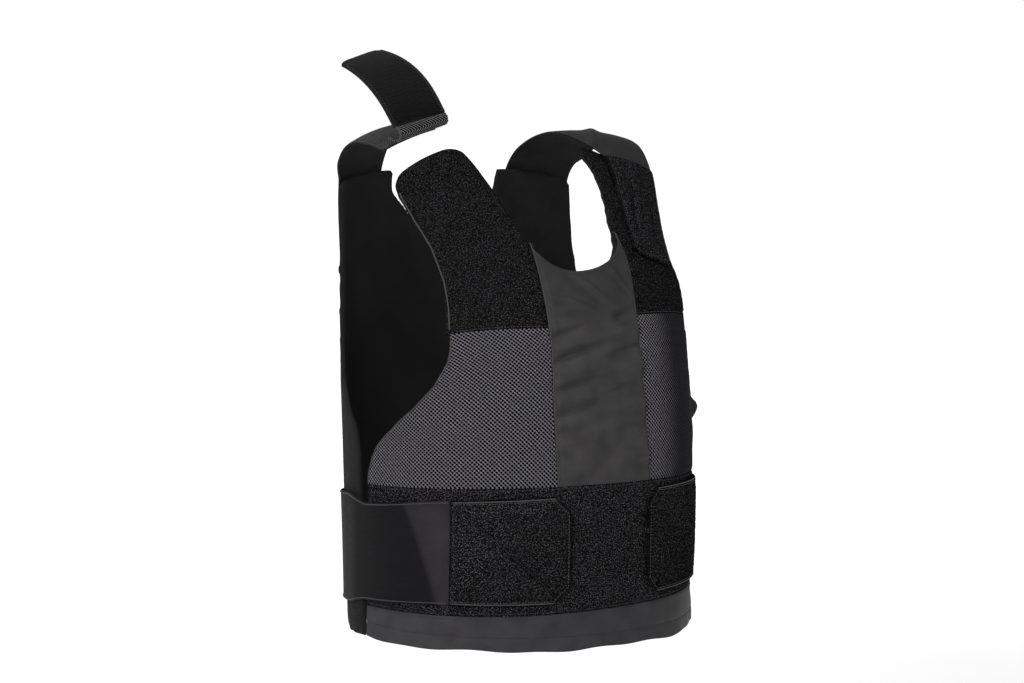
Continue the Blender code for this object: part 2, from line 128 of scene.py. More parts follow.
# Body form that every piece is laid on. It is the outer face of the two panels, as sections from
# the front hem over the shoulder to the back hem: y and z of the midline, half_width, depth and
# the exponent of the superellipse.
TORSO_ROWS = np.array([
    (-0.145, -0.472, 0.171, 0.143, 2.20),
    (-0.149, -0.400, 0.172, 0.147, 2.20),
    (-0.150, -0.328, 0.173, 0.148, 2.20),
    (-0.147, -0.256, 0.172, 0.145, 2.20),
    (-0.135, -0.184, 0.171, 0.138, 2.20),
    (-0.106, -0.112, 0.176, 0.125, 2.15),
    (-0.060, -0.050, 0.186, 0.110, 2.20),
    (0.000, -0.006, 0.194, 0.100, 2.35),
    (0.074, 0.013, 0.194, 0.100, 2.40),
    (0.124, -0.020, 0.190, 0.110, 2.30),
    (0.138, -0.092, 0.184, 0.125, 2.20),
    (0.139, -0.170, 0.178, 0.135, 2.20),
    (0.136, -0.248, 0.174, 0.134, 2.20),
    (0.132, -0.322, 0.173, 0.131, 2.20),
    (0.128, -0.397, 0.172, 0.128, 2.20),
    (0.126, -0.472, 0.171, 0.126, 2.20),
])
LATTICE_STEP = 0.002
LATTICE_HALF = 0.330


def through(rows, place):
    """Catmull-Rom curve through the rows, read at row number place."""
    place = np.clip(np.asarray(place, float), 0, len(rows) - 1 - 1e-9)
    first = np.floor(place).astype(int)
    w = (place - first)[..., None]
    ends = np.vstack([2 * rows[0] - rows[1], rows, 2 * rows[-1] - rows[-2]])
    a, b, c, d = (ends[first + k] for k in range(4))
    bend = 2 * a - 5 * b + 4 * c - d
    twist = 3 * b - a - 3 * c + d
    return 0.5 * (2 * b + (c - a) * w + bend * w**2 + twist * w**3)


def smooth(low, high, x):
    """0 below low, 1 above high, with an S-curve between."""
    w = np.clip((np.asarray(x, float) - low) / (high - low), 0, 1)
    return w * w * (3 - 2 * w)


def unit(vectors):
    """The vectors divided by their lengths."""
    return vectors / np.linalg.norm(vectors, axis=-1, keepdims=True)


def body_lattice():
    """Points of the form on a square lattice of u and t: at each t, the section's angle is found
    from the distance round it, and the section stands square to the midline."""
    places = np.linspace(0, len(TORSO_ROWS) - 1, 2801)
    steps = np.linalg.norm(np.diff(through(TORSO_ROWS, places)[:, :2], axis=0), axis=1)
    lengths = np.concatenate([[0], np.cumsum(steps)])
    t = np.arange(0, lengths[-1] + LATTICE_STEP, LATTICE_STEP)
    u = np.arange(-LATTICE_HALF, LATTICE_HALF + LATTICE_STEP / 2, LATTICE_STEP)
    place = np.interp(t, lengths, places)
    row = through(TORSO_ROWS, place)
    along = through(TORSO_ROWS, place + 1e-3) - through(TORSO_ROWS, place - 1e-3)
    along = unit(along[:, :2])
    turn = np.linspace(0, 0.85 * np.pi, 307)[None, :]
    width, depth, power = (row[:, k : k + 1] for k in (2, 3, 4))

    def section(angle):
        side = np.abs(np.sin(angle)) / width
        front = np.abs(np.cos(angle)) / depth
        radius = (side**power + front**power) ** (-1 / power)
        return radius * np.sin(angle), depth - radius * np.cos(angle)

    across, inwards = section(turn)
    girth = np.cumsum(np.hypot(np.diff(across, axis=1), np.diff(inwards, axis=1)), axis=1)
    girth = np.concatenate([np.zeros((len(t), 1)), girth], axis=1)
    angles = np.array([np.interp(np.abs(u), g, turn[0]) for g in girth])
    quarters = np.array([np.interp(np.pi / 2, turn[0], g) for g in girth])
    across, inwards = section(angles)
    y = row[:, 0:1] + inwards * along[:, 1:2]
    z = row[:, 1:2] - inwards * along[:, 0:1]
    return np.stack([np.sign(u)[None, :] * across, y, z], axis=-1), t, quarters, lengths[-1]


BODY, BODY_T, QUARTERS, TOTAL = body_lattice()


def surface(u, t):
    """Points of the form at u and t, by a cubic through four lattice points each way."""
    u, t = np.broadcast_arrays(np.asarray(u, float), np.asarray(t, float))
    column = np.clip((u + LATTICE_HALF) / LATTICE_STEP, 1, BODY.shape[1] - 2 - 1e-6)
    line = np.clip(t / LATTICE_STEP, 1, BODY.shape[0] - 2 - 1e-6)
    i, j = np.floor(line).astype(int), np.floor(column).astype(int)

    def weights(w):
        return (
            -0.5 * w + w**2 - 0.5 * w**3,
            1 - 2.5 * w**2 + 1.5 * w**3,
            0.5 * w + 2 * w**2 - 1.5 * w**3,
            -0.5 * w**2 + 0.5 * w**3,
        )

    points = np.zeros(u.shape + (3,))
    for a, wa in enumerate(weights(line - i)):
        for b, wb in enumerate(weights(column - j)):
            points += (wa * wb)[..., None] * BODY[np.minimum(i + a - 1, len(BODY) - 1), j + b - 1]
    below = np.minimum(t - LATTICE_STEP, 0)[..., None]
    points += below * (BODY[1, j] - BODY[0, j]) / LATTICE_STEP
    return points


def ring(u, t):
    """Points where u runs on round the side and across the back, at the same height."""
    front, back = np.interp(t, BODY_T, QUARTERS), np.interp(TOTAL - t, BODY_T, QUARTERS)
    beyond = np.abs(u) - front
    w = smooth(-0.010, 0.030, beyond)[..., None]
    on_front = surface(np.sign(u) * np.minimum(np.abs(u), front + 0.040), t)
    on_back = surface(np.sign(u) * np.minimum(back - beyond, back + 0.040), TOTAL - t)
    return (1 - w) * on_front + w * on_back


def laid(u, t, lift=0.0, path=surface):
    """Points at u and t, lifted off the form along its normal, which is the cross product of the
    two directions on it."""
    u, t, lift = (np.array(x, float) for x in np.broadcast_arrays(u, t, lift))
    step = 5e-4
    normal = unit(np.cross(path(u + step, t) - path(u - step, t), path(u, t + step) - path(u, t - step)))
    return path(u, t) + lift[..., None] * normal


# Bulges of the worn vest beside the left armhole: u and t of each, its radius and its height.
BULGES = ((0.143, 0.352, 0.030, 0.0060), (0.150, 0.310, 0.022, 0.0020))
# Lobe ends that the straps draw up: u and t of each, its radius, and how far along u and t.
PULLS = ((-0.108, 0.527, 0.045, -0.0020, 0.0042), (0.095, 0.527, 0.036, 0.0050, 0.0095))


def eased(points):
    """Points moved by the bulges: each pushes along the form's normal by a Gaussian of the
    distance from its centre."""
    moved = np.array(points, float)
    for u, t, radius, rise in BULGES:
        centre = laid(u, t, 0.0)
        outward = (laid(u, t, 0.001) - centre) / 0.001
        far = np.linalg.norm(points - centre, axis=-1, keepdims=True)
        moved += rise * np.exp(-((far / radius) ** 2)) * outward
    return moved


def drawn_up(points):
    """Points near the lobe ends moved along the form, by a Gaussian of the distance."""
    moved = np.array(points, float)
    for u, t, radius, along_u, along_t in PULLS:
        centre = laid(u, t, 0.0)
        shift = laid(u + along_u, t + along_t, 0.0) - centre
        far = np.linalg.norm(points - centre, axis=-1, keepdims=True)
        moved += np.exp(-((far / radius) ** 2)) * shift
    return moved


# Padded panels, front and back. Each is a flexible protective panel sewn into a thin matt cover,
# 8 mm thick with soft round edges. The covers swell slightly between their edge seams, so each is
# drawn in by an inset and inflated as cloth from there.
PAD_VOXEL = 0.0045
PAD_INSET = 0.0016
PAD_SWELL = 0.0016
PAD_PRESSURE = 4.0
PAD_FRAMES = 20


def fabric(name, colour, roughness, gloss):
    """Matt cloth: a Principled shader with its colour, roughness and gloss on its own sockets."""
    made = bpy.data.materials.new(name)
    made.use_nodes = True
    shader = made.node_tree.nodes["Principled BSDF"]
    shader.inputs["Base Color"].default_value = (*colour, 1)
    shader.inputs["Roughness"].default_value = roughness
    shader.inputs["Specular IOR Level"].default_value = gloss
    return made


def node(made, kind, **settings):
    """A new shader node. Settings name its properties, or in_0, in_1 and so on its inputs."""
    added = made.node_tree.nodes.new(kind)
    for key, value in settings.items():
        if key.startswith("in_"):
            socket = added.inputs[int(key[3:])]
            if isinstance(value, bpy.types.NodeSocket):
                made.node_tree.links.new(value, socket)
            else:
                socket.default_value = value
        else:
            setattr(added, key, value)
    return added


def sums(made, operation, *values):
    """The output of one Math node on the given values."""
    settings = {f"in_{k}": value for k, value in enumerate(values)}
    return node(made, "ShaderNodeMath", operation=operation, **settings).outputs[0]


def blended(made, share, first, second):
    """A colour between two colours, by the share."""
    mixed = node(made, "ShaderNodeMix", data_type="RGBA")
    made.node_tree.links.new(share, mixed.inputs["Factor"])
    for socket, value in ((mixed.inputs[6], first), (mixed.inputs[7], second)):
        if isinstance(value, bpy.types.NodeSocket):
            made.node_tree.links.new(value, socket)
        else:
            socket.default_value = (*value, 1)
    return mixed.outputs[2]


def grain(made, vector, scale, detail=2.0, roughness=0.5):
    """Noise from 0 to 1 at the given scale."""
    noise = node(made, "ShaderNodeTexNoise", in_0=vector)
    noise.inputs["Scale"].default_value = scale
    noise.inputs["Detail"].default_value = detail
    noise.inputs["Roughness"].default_value = roughness
    return noise.outputs["Fac"]


def spread(made, value, low, high, to_low=0.0, to_high=1.0):
    """The value mapped from the range low to high, clamped and eased."""
    mapped = node(made, "ShaderNodeMapRange", interpolation_type="SMOOTHSTEP", in_0=value)
    for k, number in enumerate((low, high, to_low, to_high)):
        mapped.inputs[k + 1].default_value = number
    return mapped.outputs[0]


def finish_fabric(made, colour, height, distance, strength=1.0):
    """Links the colour and the bump height of a cloth to its shader."""
    shader = made.node_tree.nodes["Principled BSDF"]
    made.node_tree.links.new(colour, shader.inputs["Base Color"])
    bump = node(made, "ShaderNodeBump")
    bump.inputs["Strength"].default_value = strength
    bump.inputs["Distance"].default_value = distance
    made.node_tree.links.new(height, bump.inputs["Height"])
    made.node_tree.links.new(bump.outputs[0], shader.inputs["Normal"])


def cover_cloth():
    """Plain black cover: a fine square weave, 0.7 mm, as two crossed sine waves, with spots of wear."""
    made = fabric("cover_cloth", (0.010, 0.010, 0.011), 0.80, 0.05)
    place = node(made, "ShaderNodeTexCoord").outputs["Object"]
    axes = node(made, "ShaderNodeSeparateXYZ", in_0=place)
    threads = 2 * np.pi / 0.0014
    warp = sums(made, "SINE", sums(made, "MULTIPLY", axes.outputs[0], threads))
    weft = sums(made, "SINE", sums(made, "MULTIPLY", axes.outputs[2], threads))
    weave = sums(made, "MULTIPLY", warp, weft)
    wear_and_shade = grain(made, place, 35.0, 4.0)
    height = sums(made, "ADD", weave, sums(made, "MULTIPLY", grain(made, place, 900.0), 1.5))
    finish_fabric(made, blended(made, wear_and_shade, (0.005, 0.005, 0.0054), (0.010, 0.010, 0.0108)), height, 0.0002)
    return made


def remade(node_name, name):
    """A new mesh of the panel's solid, its loose triangles merged, remeshed in even squares."""
    form = bmesh.new()
    form.from_mesh(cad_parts[node_name].data)
    bmesh.ops.remove_doubles(form, verts=form.verts, dist=1e-6)
    mesh = bpy.data.meshes.new(name)
    form.to_mesh(mesh)
    form.free()
    made = bpy.data.objects.new(name, mesh)
    bpy.context.collection.objects.link(made)
    remesh = made.modifiers.new("squares", "REMESH")
    remesh.mode = "VOXEL"
    remesh.voxel_size = PAD_VOXEL
    settle(made)
    return made


def settle(made):
    """Replaces the object's mesh by its evaluated one and drops its modifiers."""
    evaluated = made.evaluated_get(bpy.context.evaluated_depsgraph_get())
    final = bpy.data.meshes.new_from_object(evaluated)
    made.modifiers.clear()
    made.data = final


def corners_of(mesh):
    """The mesh's points as an array."""
    points = np.empty(len(mesh.vertices) * 3)
    mesh.vertices.foreach_get("co", points)
    return points.reshape(-1, 3)


# The rim of the front panel curls out at the wearer's left, below the armhole: its u and t, its
# half length along the rim, its half width across it, and its height.
WING_RIM = (0.2150, 0.2170, 0.0260, 0.0120, 0.0225)


def wing(points, share=1.0):
    """Points near the rim pushed out along the form's normal, by a share of the height times a
    Gaussian that is long along the rim and short across it."""
    u, t, long, short, rise = WING_RIM
    centre = laid(u, t, -0.003)
    along = laid(u - 0.010, t + 0.0078, -0.003) - centre
    along /= np.linalg.norm(along)
    outward = (laid(u, t, 0.001) - laid(u, t, 0.0)) / 0.001
    off = points - centre
    run = off @ along
    aside = np.linalg.norm(off - run[..., None] * along, axis=-1)
    push = share * rise * np.exp(-((run / long) ** 2) - (aside / short) ** 2)
    return points + push[..., None] * outward


def swollen(node_name, name):
    """The panel drawn in along its normals by the inset, then inflated as cloth with a small
    pressure and no gravity. No point moves further than the swell. The front is subdivided, and
    the plain back is only smoothed."""
    made = remade(node_name, name)
    points = corners_of(made.data)
    normals = np.empty(len(points) * 3)
    made.data.vertex_normals.foreach_get("vector", normals)
    start = points - PAD_INSET * normals.reshape(-1, 3)
    made.data.vertices.foreach_set("co", start.ravel())
    made.data.update()
    cloth = made.modifiers.new("cloth", "CLOTH")
    cloth.settings.quality = 4
    cloth.settings.use_pressure = True
    cloth.settings.uniform_pressure_force = PAD_PRESSURE
    cloth.settings.effector_weights.gravity = 0
    cloth.point_cache.frame_start = 1
    cloth.point_cache.frame_end = PAD_FRAMES
    for moment in range(1, PAD_FRAMES + 1):
        bpy.context.scene.frame_set(moment)
    settle(made)
    moved = corners_of(made.data) - start
    far = np.maximum(np.linalg.norm(moved, axis=1, keepdims=True), 1e-9)
    moved *= np.minimum(far, PAD_SWELL) / far
    made.data.vertices.foreach_set("co", (start + moved).ravel())
    made.data.update()
    bpy.context.scene.frame_set(1)
    points = corners_of(made.data)
    if node_name == "front_carrier":
        points = drawn_up(eased(wing(points)))
    made.data.vertices.foreach_set("co", points.ravel())
    made.data.update()
    if node_name == "front_carrier":
        finer = made.modifiers.new("finer", "SUBSURF")
        finer.levels = finer.render_levels = 1
    else:
        softer = made.modifiers.new("softer", "SMOOTH")
        softer.factor = 0.5
        softer.iterations = 2
    made.data.shade_smooth()
    return made


pad_cover = cover_cloth()
for panel in ("front_carrier", "back_carrier"):
    pad = swollen(panel, panel.replace("carrier", "panel"))
    pad.data.materials.append(pad_cover)
    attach(pad, "root")
    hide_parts(panel)


# Centre panel. A smooth twill, black with a slight shine, runs up the middle of the front between
# two sewn seams to the neckline. It is drawn in along the left seam, which gathers soft puckers.
GAP = 0.0005
TWILL = 0.0011
BAND_TOP_T = 0.154
SEAM_GAP = 0.0004
# Seam lines as (t, distance from the midline), on the wearer's right and left.
SEAMS = {
    -1: np.array([(0.150, 0.0530), (0.226, 0.0550), (0.295, 0.0510), (0.340, 0.0490), (0.405, 0.0470)]),
    1: np.array([
        (0.150, 0.0560), (0.180, 0.0525), (0.240, 0.0510), (0.315, 0.0540), (0.365, 0.0600),
        (0.410, 0.0560),
    ]),
}
SCOOP_T = 0.356
SCOOP_U = -0.008
SCOOP_RISE = {-1: 0.037, 1: 0.047}
NECK_INSET = 0.0006
FOLD_RISE = 0.0040
PANEL_RISE = 0.0024
PIPING_INSET = 0.0008
ROW_INSET = 0.0030
NECK_ROW_INSET = 0.0045


def seam_u(side, t):
    """Distance of a centre seam from the midline: a cubic through its table, read by t."""
    table = SEAMS[side]
    return through(table, np.interp(t, table[:, 0], np.arange(len(table))))[..., 1]


SEAM_TOP = {side: SCOOP_T + SCOOP_RISE[side] for side in (-1, 1)}


def neck_t(u):
    """Height of the neckline: a quarter ellipse from its lowest point out to each seam."""
    side = np.where(u < SCOOP_U, -1, 1)
    reach = np.where(side < 0, seam_u(-1, SEAM_TOP[-1]) + SCOOP_U, seam_u(1, SEAM_TOP[1]) - SCOOP_U)
    rise = np.where(side < 0, SCOOP_RISE[-1], SCOOP_RISE[1])
    share = np.clip(np.abs(u - SCOOP_U) / reach, 0, 1)
    return SCOOP_T + rise * (1 - np.sqrt(1 - share**2))


def ridge(u, t, at_u, at_t, heading, length, width):
    """A soft fold: a long Gaussian hump, heading in degrees from the level line."""
    c, s = np.cos(np.radians(heading)), np.sin(np.radians(heading))
    x, y = (u - at_u) * c + (t - at_t) * s, (t - at_t) * c - (u - at_u) * s
    return np.exp(-((x / length) ** 2) - (y / width) ** 2)


def groove(distance, width):
    """Depth share of a stitched groove, by a Gaussian of the distance from its seam."""
    return np.exp(-((distance / width) ** 2))


def folds_of(u, t, table):
    """The sum of the folds in a table of u, t, heading, length, width and height."""
    return sum(rise * ridge(u, t, *place) for *place, rise in table)


def rows_to_mesh(name, points, pattern, faces, groove_and_shade=None):
    """A mesh from arrays of points and faces. Its pattern coordinates are kept as an attribute, and so is a
    share of painted shade for each point. Points in the same place are merged, and faces without area go
    with them."""
    mesh = bpy.data.meshes.new(name)
    mesh.vertices.add(len(points))
    mesh.vertices.foreach_set("co", np.ascontiguousarray(points, np.float32).ravel())
    mesh.loops.add(faces.size)
    mesh.loops.foreach_set("vertex_index", np.ascontiguousarray(faces, np.int32).ravel())
    mesh.polygons.add(len(faces))
    mesh.polygons.foreach_set("loop_start", np.arange(0, faces.size, 4, dtype=np.int32))
    mesh.update(calc_edges=True)
    mesh.validate()
    attribute = mesh.attributes.new("pattern", "FLOAT_VECTOR", "POINT")
    flat = np.zeros((len(points), 3), np.float32)
    flat[:, :2] = pattern
    attribute.data.foreach_set("vector", flat.ravel())
    if groove_and_shade is not None:
        depth = mesh.attributes.new("groove_and_shade", "FLOAT", "POINT")
        depth.data.foreach_set("value", np.ascontiguousarray(groove_and_shade, np.float32))
    form = bmesh.new()
    form.from_mesh(mesh)
    bmesh.ops.remove_doubles(form, verts=form.verts, dist=2e-6)
    bmesh.ops.dissolve_degenerate(form, edges=form.edges, dist=1e-7)
    form.to_mesh(mesh)
    form.free()
    mesh.shade_smooth()
    return mesh


def cloth_piece(name, lower, upper, pattern, groove_and_shade=None):
    """A closed cloth from its lower and upper face, two grids of points of one shape, u running
    along the rows and t up them. A ring at half height, pushed out by a third of the thickness,
    rounds the edge."""
    lower, upper = eased(lower), eased(upper)
    rows, columns = lower.shape[:2]
    count = rows * columns
    index = np.arange(count).reshape(rows, columns)
    quads = np.stack([index[:-1, :-1], index[:-1, 1:], index[1:, 1:], index[1:, :-1]], axis=-1)
    quads = quads.reshape(-1, 4)
    border = np.concatenate([index[0, :-1], index[:-1, -1], index[-1, :0:-1], index[:0:-1, 0]])
    inward = np.concatenate([index[1, :-1], index[:-1, -2], index[-2, :0:-1], index[:0:-1, 1]])
    low, high = lower.reshape(-1, 3), upper.reshape(-1, 3)
    out = high[border] - high[inward]
    out /= np.maximum(np.linalg.norm(out, axis=1, keepdims=True), 1e-9)
    thick = np.linalg.norm(high[border] - low[border], axis=1, keepdims=True)
    middle = (high[border] + low[border]) / 2 + out * thick * 0.33
    ring_index = 2 * count + np.arange(len(border))
    following = np.roll(np.arange(len(border)), -1)
    under = np.stack([border, border[following], ring_index[following], ring_index], axis=-1)
    over = np.stack([ring_index, ring_index[following], count + border[following], count + border], axis=-1)
    faces = np.concatenate([count + quads, quads[:, ::-1], under, over])
    points = np.concatenate([low, high, middle])
    flat = pattern.reshape(-1, 2)
    if groove_and_shade is not None:
        groove_and_shade = np.broadcast_to(groove_and_shade, (rows, columns)).reshape(-1)
        groove_and_shade = np.concatenate([groove_and_shade, groove_and_shade, groove_and_shade[border]])
    mesh = rows_to_mesh(name, points, np.concatenate([flat, flat, flat[border]]), faces, groove_and_shade)
    made = bpy.data.objects.new(name, mesh)
    bpy.context.collection.objects.link(made)
    return made


def sewn_cloth(name, u, t, lift, thickness, groove_and_shade=None, path=surface, moved=np.asarray):
    """A cloth laid at u and t, with the given lift of its lower face and the given thickness. A
    function may move the points of both faces."""
    lower = moved(laid(u, t, lift, path))
    upper = moved(laid(u, t, np.asarray(lift) + thickness, path))
    return cloth_piece(name, lower, upper, np.stack(np.broadcast_arrays(u, t), axis=-1), groove_and_shade)


def on_cloth(made, u, t, path=surface):
    """Points where lines square to the form meet the cloth from outside, and those lines."""
    u, t = (np.array(x, float) for x in np.broadcast_arrays(u, t))
    outside, base = laid(u, t, 0.030, path), laid(u, t, 0.001, path)
    inward = unit(base - outside)
    tree = BVHTree.FromObject(made, bpy.context.evaluated_depsgraph_get())
    hits = [tree.ray_cast(Vector(a), Vector(b), 0.045)[0] for a, b in zip(outside, inward)]
    found = [base[k] if hit is None else np.array(hit) for k, hit in enumerate(hits)]
    return np.array(found), -inward


def pathway(*corners, count=60):
    """u and t along straight lines through the corners, as two arrays."""
    corners = np.array(corners, float)
    place = np.linspace(0, len(corners) - 1, (len(corners) - 1) * count + 1)
    return tuple(np.interp(place, np.arange(len(corners)), corners[:, k]) for k in (0, 1))


def read_line(values, run, at):
    """The values of a line at distances from its start, by straight interpolation."""
    return np.stack([np.interp(at, run, values[:, k]) for k in range(3)], axis=-1)


def distances(points):
    """How far each point of a line is from its start."""
    return np.concatenate([[0], np.cumsum(np.linalg.norm(np.diff(points, axis=0), axis=1))])


STITCH_PITCH = 0.0030
STITCH_RADIUS = 0.00032
STITCH_SHARE = 0.74
STITCH_SIDES = 6
CORD_STEP = 0.0020
CORD_SIDES = 8


def turned_round(heading, up, sides):
    """Unit directions evenly round each heading, and its upward one, by two cross products."""
    side = unit(np.cross(heading, up))
    up = unit(np.cross(side, heading))
    turn = np.arange(sides)[:, None] * 2 * np.pi / sides
    return np.cos(turn) * side[:, None, :] + np.sin(turn) * up[:, None, :], up


def threads_mesh(name, points):
    """A mesh of tubes from points in the order thread, station, place round it."""
    index = np.arange(points[..., 0].size).reshape(points.shape[:-1])
    following = np.roll(index, -1, axis=2)
    faces = np.stack([index[:, :-1], following[:, :-1], following[:, 1:], index[:, 1:]], axis=-1)
    points = points.reshape(-1, 3)
    made = bpy.data.objects.new(name, rows_to_mesh(name, points, points[:, :2] * 0, faces.reshape(-1, 4)))
    bpy.context.collection.objects.link(made)
    return made


def stitches(name, lines, material, radius=STITCH_RADIUS):
    """Rows of stitches along lines of points and normals. Each stitch is a six-sided spindle
    that covers a share of the pitch, its middle above the cloth and its ends sunk in: at each
    station along it a ring of points is scaled by a girth and raised by an arch."""
    centres, headings, ups = [], [], []
    for points, normals in lines:
        run = distances(points)
        at = np.arange(STITCH_PITCH / 2, run[-1], STITCH_PITCH)
        reach = STITCH_PITCH * STITCH_SHARE / 2
        centres.append(read_line(points, run, at))
        headings.append(read_line(points, run, at + reach) - read_line(points, run, at - reach))
        ups.append(read_line(normals, run, at))
    stations = np.array([-0.5, -0.38, 0.0, 0.38, 0.5])
    girths = np.array([0.0, 0.75, 1.0, 0.75, 0.0])
    arch = np.array([-0.5, -0.1, 0.5, -0.1, -0.5])
    centre, heading, up = (np.concatenate(x) for x in (centres, headings, ups))
    out, up = turned_round(heading, up, STITCH_SIDES)
    line = centre[:, None, None, :] + stations[:, None, None] * heading[:, None, None, :]
    spindle = girths[:, None, None] * out[:, None] + arch[:, None, None] * up[:, None, None, :]
    return sewn_part(threads_mesh(name, line + radius * spindle), material)


def cord(name, lines, material, radius, raised=0.3):
    """Piping along lines of points and normals: rings square to the line, closed at both ends,
    with the line's own height plus a part of the radius."""
    tubes = []
    for points, normals in lines:
        run = distances(points)
        at = np.linspace(0, run[-1], max(int(run[-1] / CORD_STEP), 8))
        middle, up = read_line(points, run, at), read_line(normals, run, at)
        heading = np.gradient(middle, axis=0)
        out, up = turned_round(heading, up, CORD_SIDES)
        girth = np.ones(len(at))
        girth[[0, -1]] = 0.0
        rings = middle[:, None, :] + radius * (girth[:, None, None] * out + raised * up[:, None, :])
        tubes.append(threads_mesh(f"{name}_{len(tubes)}", rings[None]))
    if len(tubes) > 1:
        with bpy.context.temp_override(active_object=tubes[0], selected_editable_objects=tubes):
            bpy.ops.object.join()
    tubes[0].name = tubes[0].data.name = name
    return sewn_part(tubes[0], material)


def sewn_part(made, material):
    """A thread or a cord with its material, riding on the vest."""
    made.data.materials.append(material)
    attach(made, "root")
    return made


def thread(name, colour):
    """Sewing thread or piping: one colour, broken by a fine twist of noise."""
    made = fabric(name, colour, 0.55, 0.15)
    place = node(made, "ShaderNodeTexCoord").outputs["Object"]
    twist = grain(made, place, 1800.0, 1.0)
    dark = tuple(0.55 * c for c in colour)
    finish_fabric(made, blended(made, twist, dark, colour), twist, 0.0001)
    return made


def dressed(made, material, replaces):
    """Gives a cloth its material, attaches it to the root body that carries it, and hides the parts it
    replaces.
    """
    made.data.materials.append(material)
    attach(made, "root")
    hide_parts(*replaces)


def pattern_of(made):
    """The cloth's u and t, read from its attribute."""
    found = node(made, "ShaderNodeAttribute", attribute_name="pattern")
    axes = node(made, "ShaderNodeSeparateXYZ", in_0=found.outputs["Vector"])
    return found.outputs["Vector"], axes.outputs[0], axes.outputs[1]


def twill_cloth(name, dark, pale, pitch, lean, painted_shade_heights=None):
    """Twill: fine ribs that lean over the cloth, a sine of u and t, on slow random changes of tone. Where
    two heights are given, painted shade darkens it from the one to the other."""
    made = fabric(name, pale, 0.55, 0.09)
    place, u, t = pattern_of(made)
    phase = sums(made, "ADD", sums(made, "MULTIPLY", u, lean), t)
    ribs = sums(made, "SINE", sums(made, "MULTIPLY", phase, 2 * np.pi / pitch))
    fibre = grain(made, place, 1400.0, 1.0)
    shade = grain(made, place, 45.0, 3.0)
    share = sums(made, "ADD", sums(made, "MULTIPLY", ribs, 0.16), sums(made, "MULTIPLY", shade, 0.75))
    share = sums(made, "ADD", share, sums(made, "MULTIPLY", fibre, 0.35))
    height = sums(made, "ADD", ribs, sums(made, "MULTIPLY", fibre, 1.6))
    colour = blended(made, spread(made, share, 0.1, 0.9), dark, pale)
    # Painted shade: between the given heights the colour is blended towards the dark one.
    if painted_shade_heights:
        colour = blended(made, spread(made, t, *painted_shade_heights, 0.0, 0.45), colour, dark)
    finish_fabric(made, colour, height, 0.00012, 0.8)
    return made


# The centre panel is painted with shade from t 0.27 to 0.37, so it is darker towards the neckline.
centre_twill = twill_cloth(
    "centre_twill", (0.0090, 0.0086, 0.0089), (0.0312, 0.0296, 0.0310), 0.0011, 1.0, (0.27, 0.37)
)
rows = np.linspace(0, 1, 171)[:, None]
columns = np.linspace(0, 1, 77)[None, :]
low_t = BAND_TOP_T + SEAM_GAP
first_u = -seam_u(-1, low_t) * (1 - columns) + seam_u(1, low_t) * columns
t = low_t + rows * (neck_t(first_u) - NECK_INSET - low_t)
for _ in range(3):
    left = -seam_u(-1, t) + SEAM_GAP
    right = seam_u(1, t) - SEAM_GAP
    u = left * (1 - columns) + right * columns
    t = low_t + rows * (neck_t(u) - NECK_INSET - low_t)
to_seam = np.minimum(u - left, right - u)
# Folds of the twill: u, t, heading, length, width, and height as a share of the fold rise.
FOLDS = (
    (0.040, 0.178, 6, 0.026, 0.0050, 0.7),
    (0.034, 0.206, 12, 0.034, 0.0052, -0.8),
    (0.030, 0.226, 8, 0.036, 0.0046, 0.9),
    (0.036, 0.246, 14, 0.030, 0.0044, -0.9),
    (0.026, 0.262, 10, 0.038, 0.0048, 1.1),
    (0.034, 0.279, 16, 0.030, 0.0042, -0.9),
    (0.030, 0.296, 12, 0.034, 0.0045, 1.0),
    (0.038, 0.314, 20, 0.026, 0.0040, -0.7),
    (-0.040, 0.205, 8, 0.024, 0.0050, -0.7),
    (-0.036, 0.223, 12, 0.032, 0.0046, -1.0),
    (-0.034, 0.235, 10, 0.030, 0.0046, 0.7),
    (-0.034, 0.247, 13, 0.032, 0.0042, -1.1),
    (-0.030, 0.260, 12, 0.034, 0.0048, 0.8),
    (-0.036, 0.274, 14, 0.032, 0.0042, -1.2),
    (-0.032, 0.284, 10, 0.030, 0.0042, 0.8),
    (-0.038, 0.296, 12, 0.028, 0.0040, -1.1),
    (-0.036, 0.318, -6, 0.020, 0.0040, 0.9),
    (-0.030, 0.333, -24, 0.018, 0.0038, -0.8),
    (-0.014, 0.322, -32, 0.026, 0.0040, 1.0),
    (0.010, 0.330, -42, 0.026, 0.0040, 1.2),
    (0.020, 0.318, -40, 0.030, 0.0042, -0.8),
    (0.034, 0.352, -52, 0.022, 0.0038, 1.2),
    (0.042, 0.338, -50, 0.020, 0.0038, -0.7),
)
ease = smooth(0.0, 0.005, to_seam) * smooth(0.0, 0.012, t - low_t)
lift = GAP + ease * (FOLD_RISE * folds_of(u, t, FOLDS) + PANEL_RISE)
lift = lift + 0.0004 * smooth(0.0, 0.006, to_seam)
centre_panel = sewn_cloth("centre_panel", u, t, lift, TWILL)
black_thread = thread("black_thread", (0.014, 0.014, 0.0145))
pale_thread = thread("pale_thread", (0.042, 0.041, 0.043))
black_cord = thread("black_cord", (0.006, 0.006, 0.0063))
seam_lines, row_lines = [], []
for side in (-1, 1):
    t_line = np.linspace(low_t, SEAM_TOP[side] - 0.002, 160)
    u_line = side * seam_u(side, t_line)
    seam_lines.append(on_cloth(centre_panel, u_line - side * PIPING_INSET, t_line))
    row_lines.append(on_cloth(centre_panel, u_line - side * ROW_INSET, t_line))
u_line = np.linspace(-seam_u(-1, SEAM_TOP[-1]) + 0.004, seam_u(1, SEAM_TOP[1]) - 0.004, 150)
row_lines.append(on_cloth(centre_panel, u_line, neck_t(u_line) - NECK_ROW_INSET))
centre_trims = (
    cord("centre_piping", seam_lines, thread("seam_piping", (0.032, 0.0312, 0.033)), 0.0006),
    stitches("centre_stitches", row_lines, black_thread),
)
dressed(
    centre_panel, centre_twill, ["front_center_panel"],
)


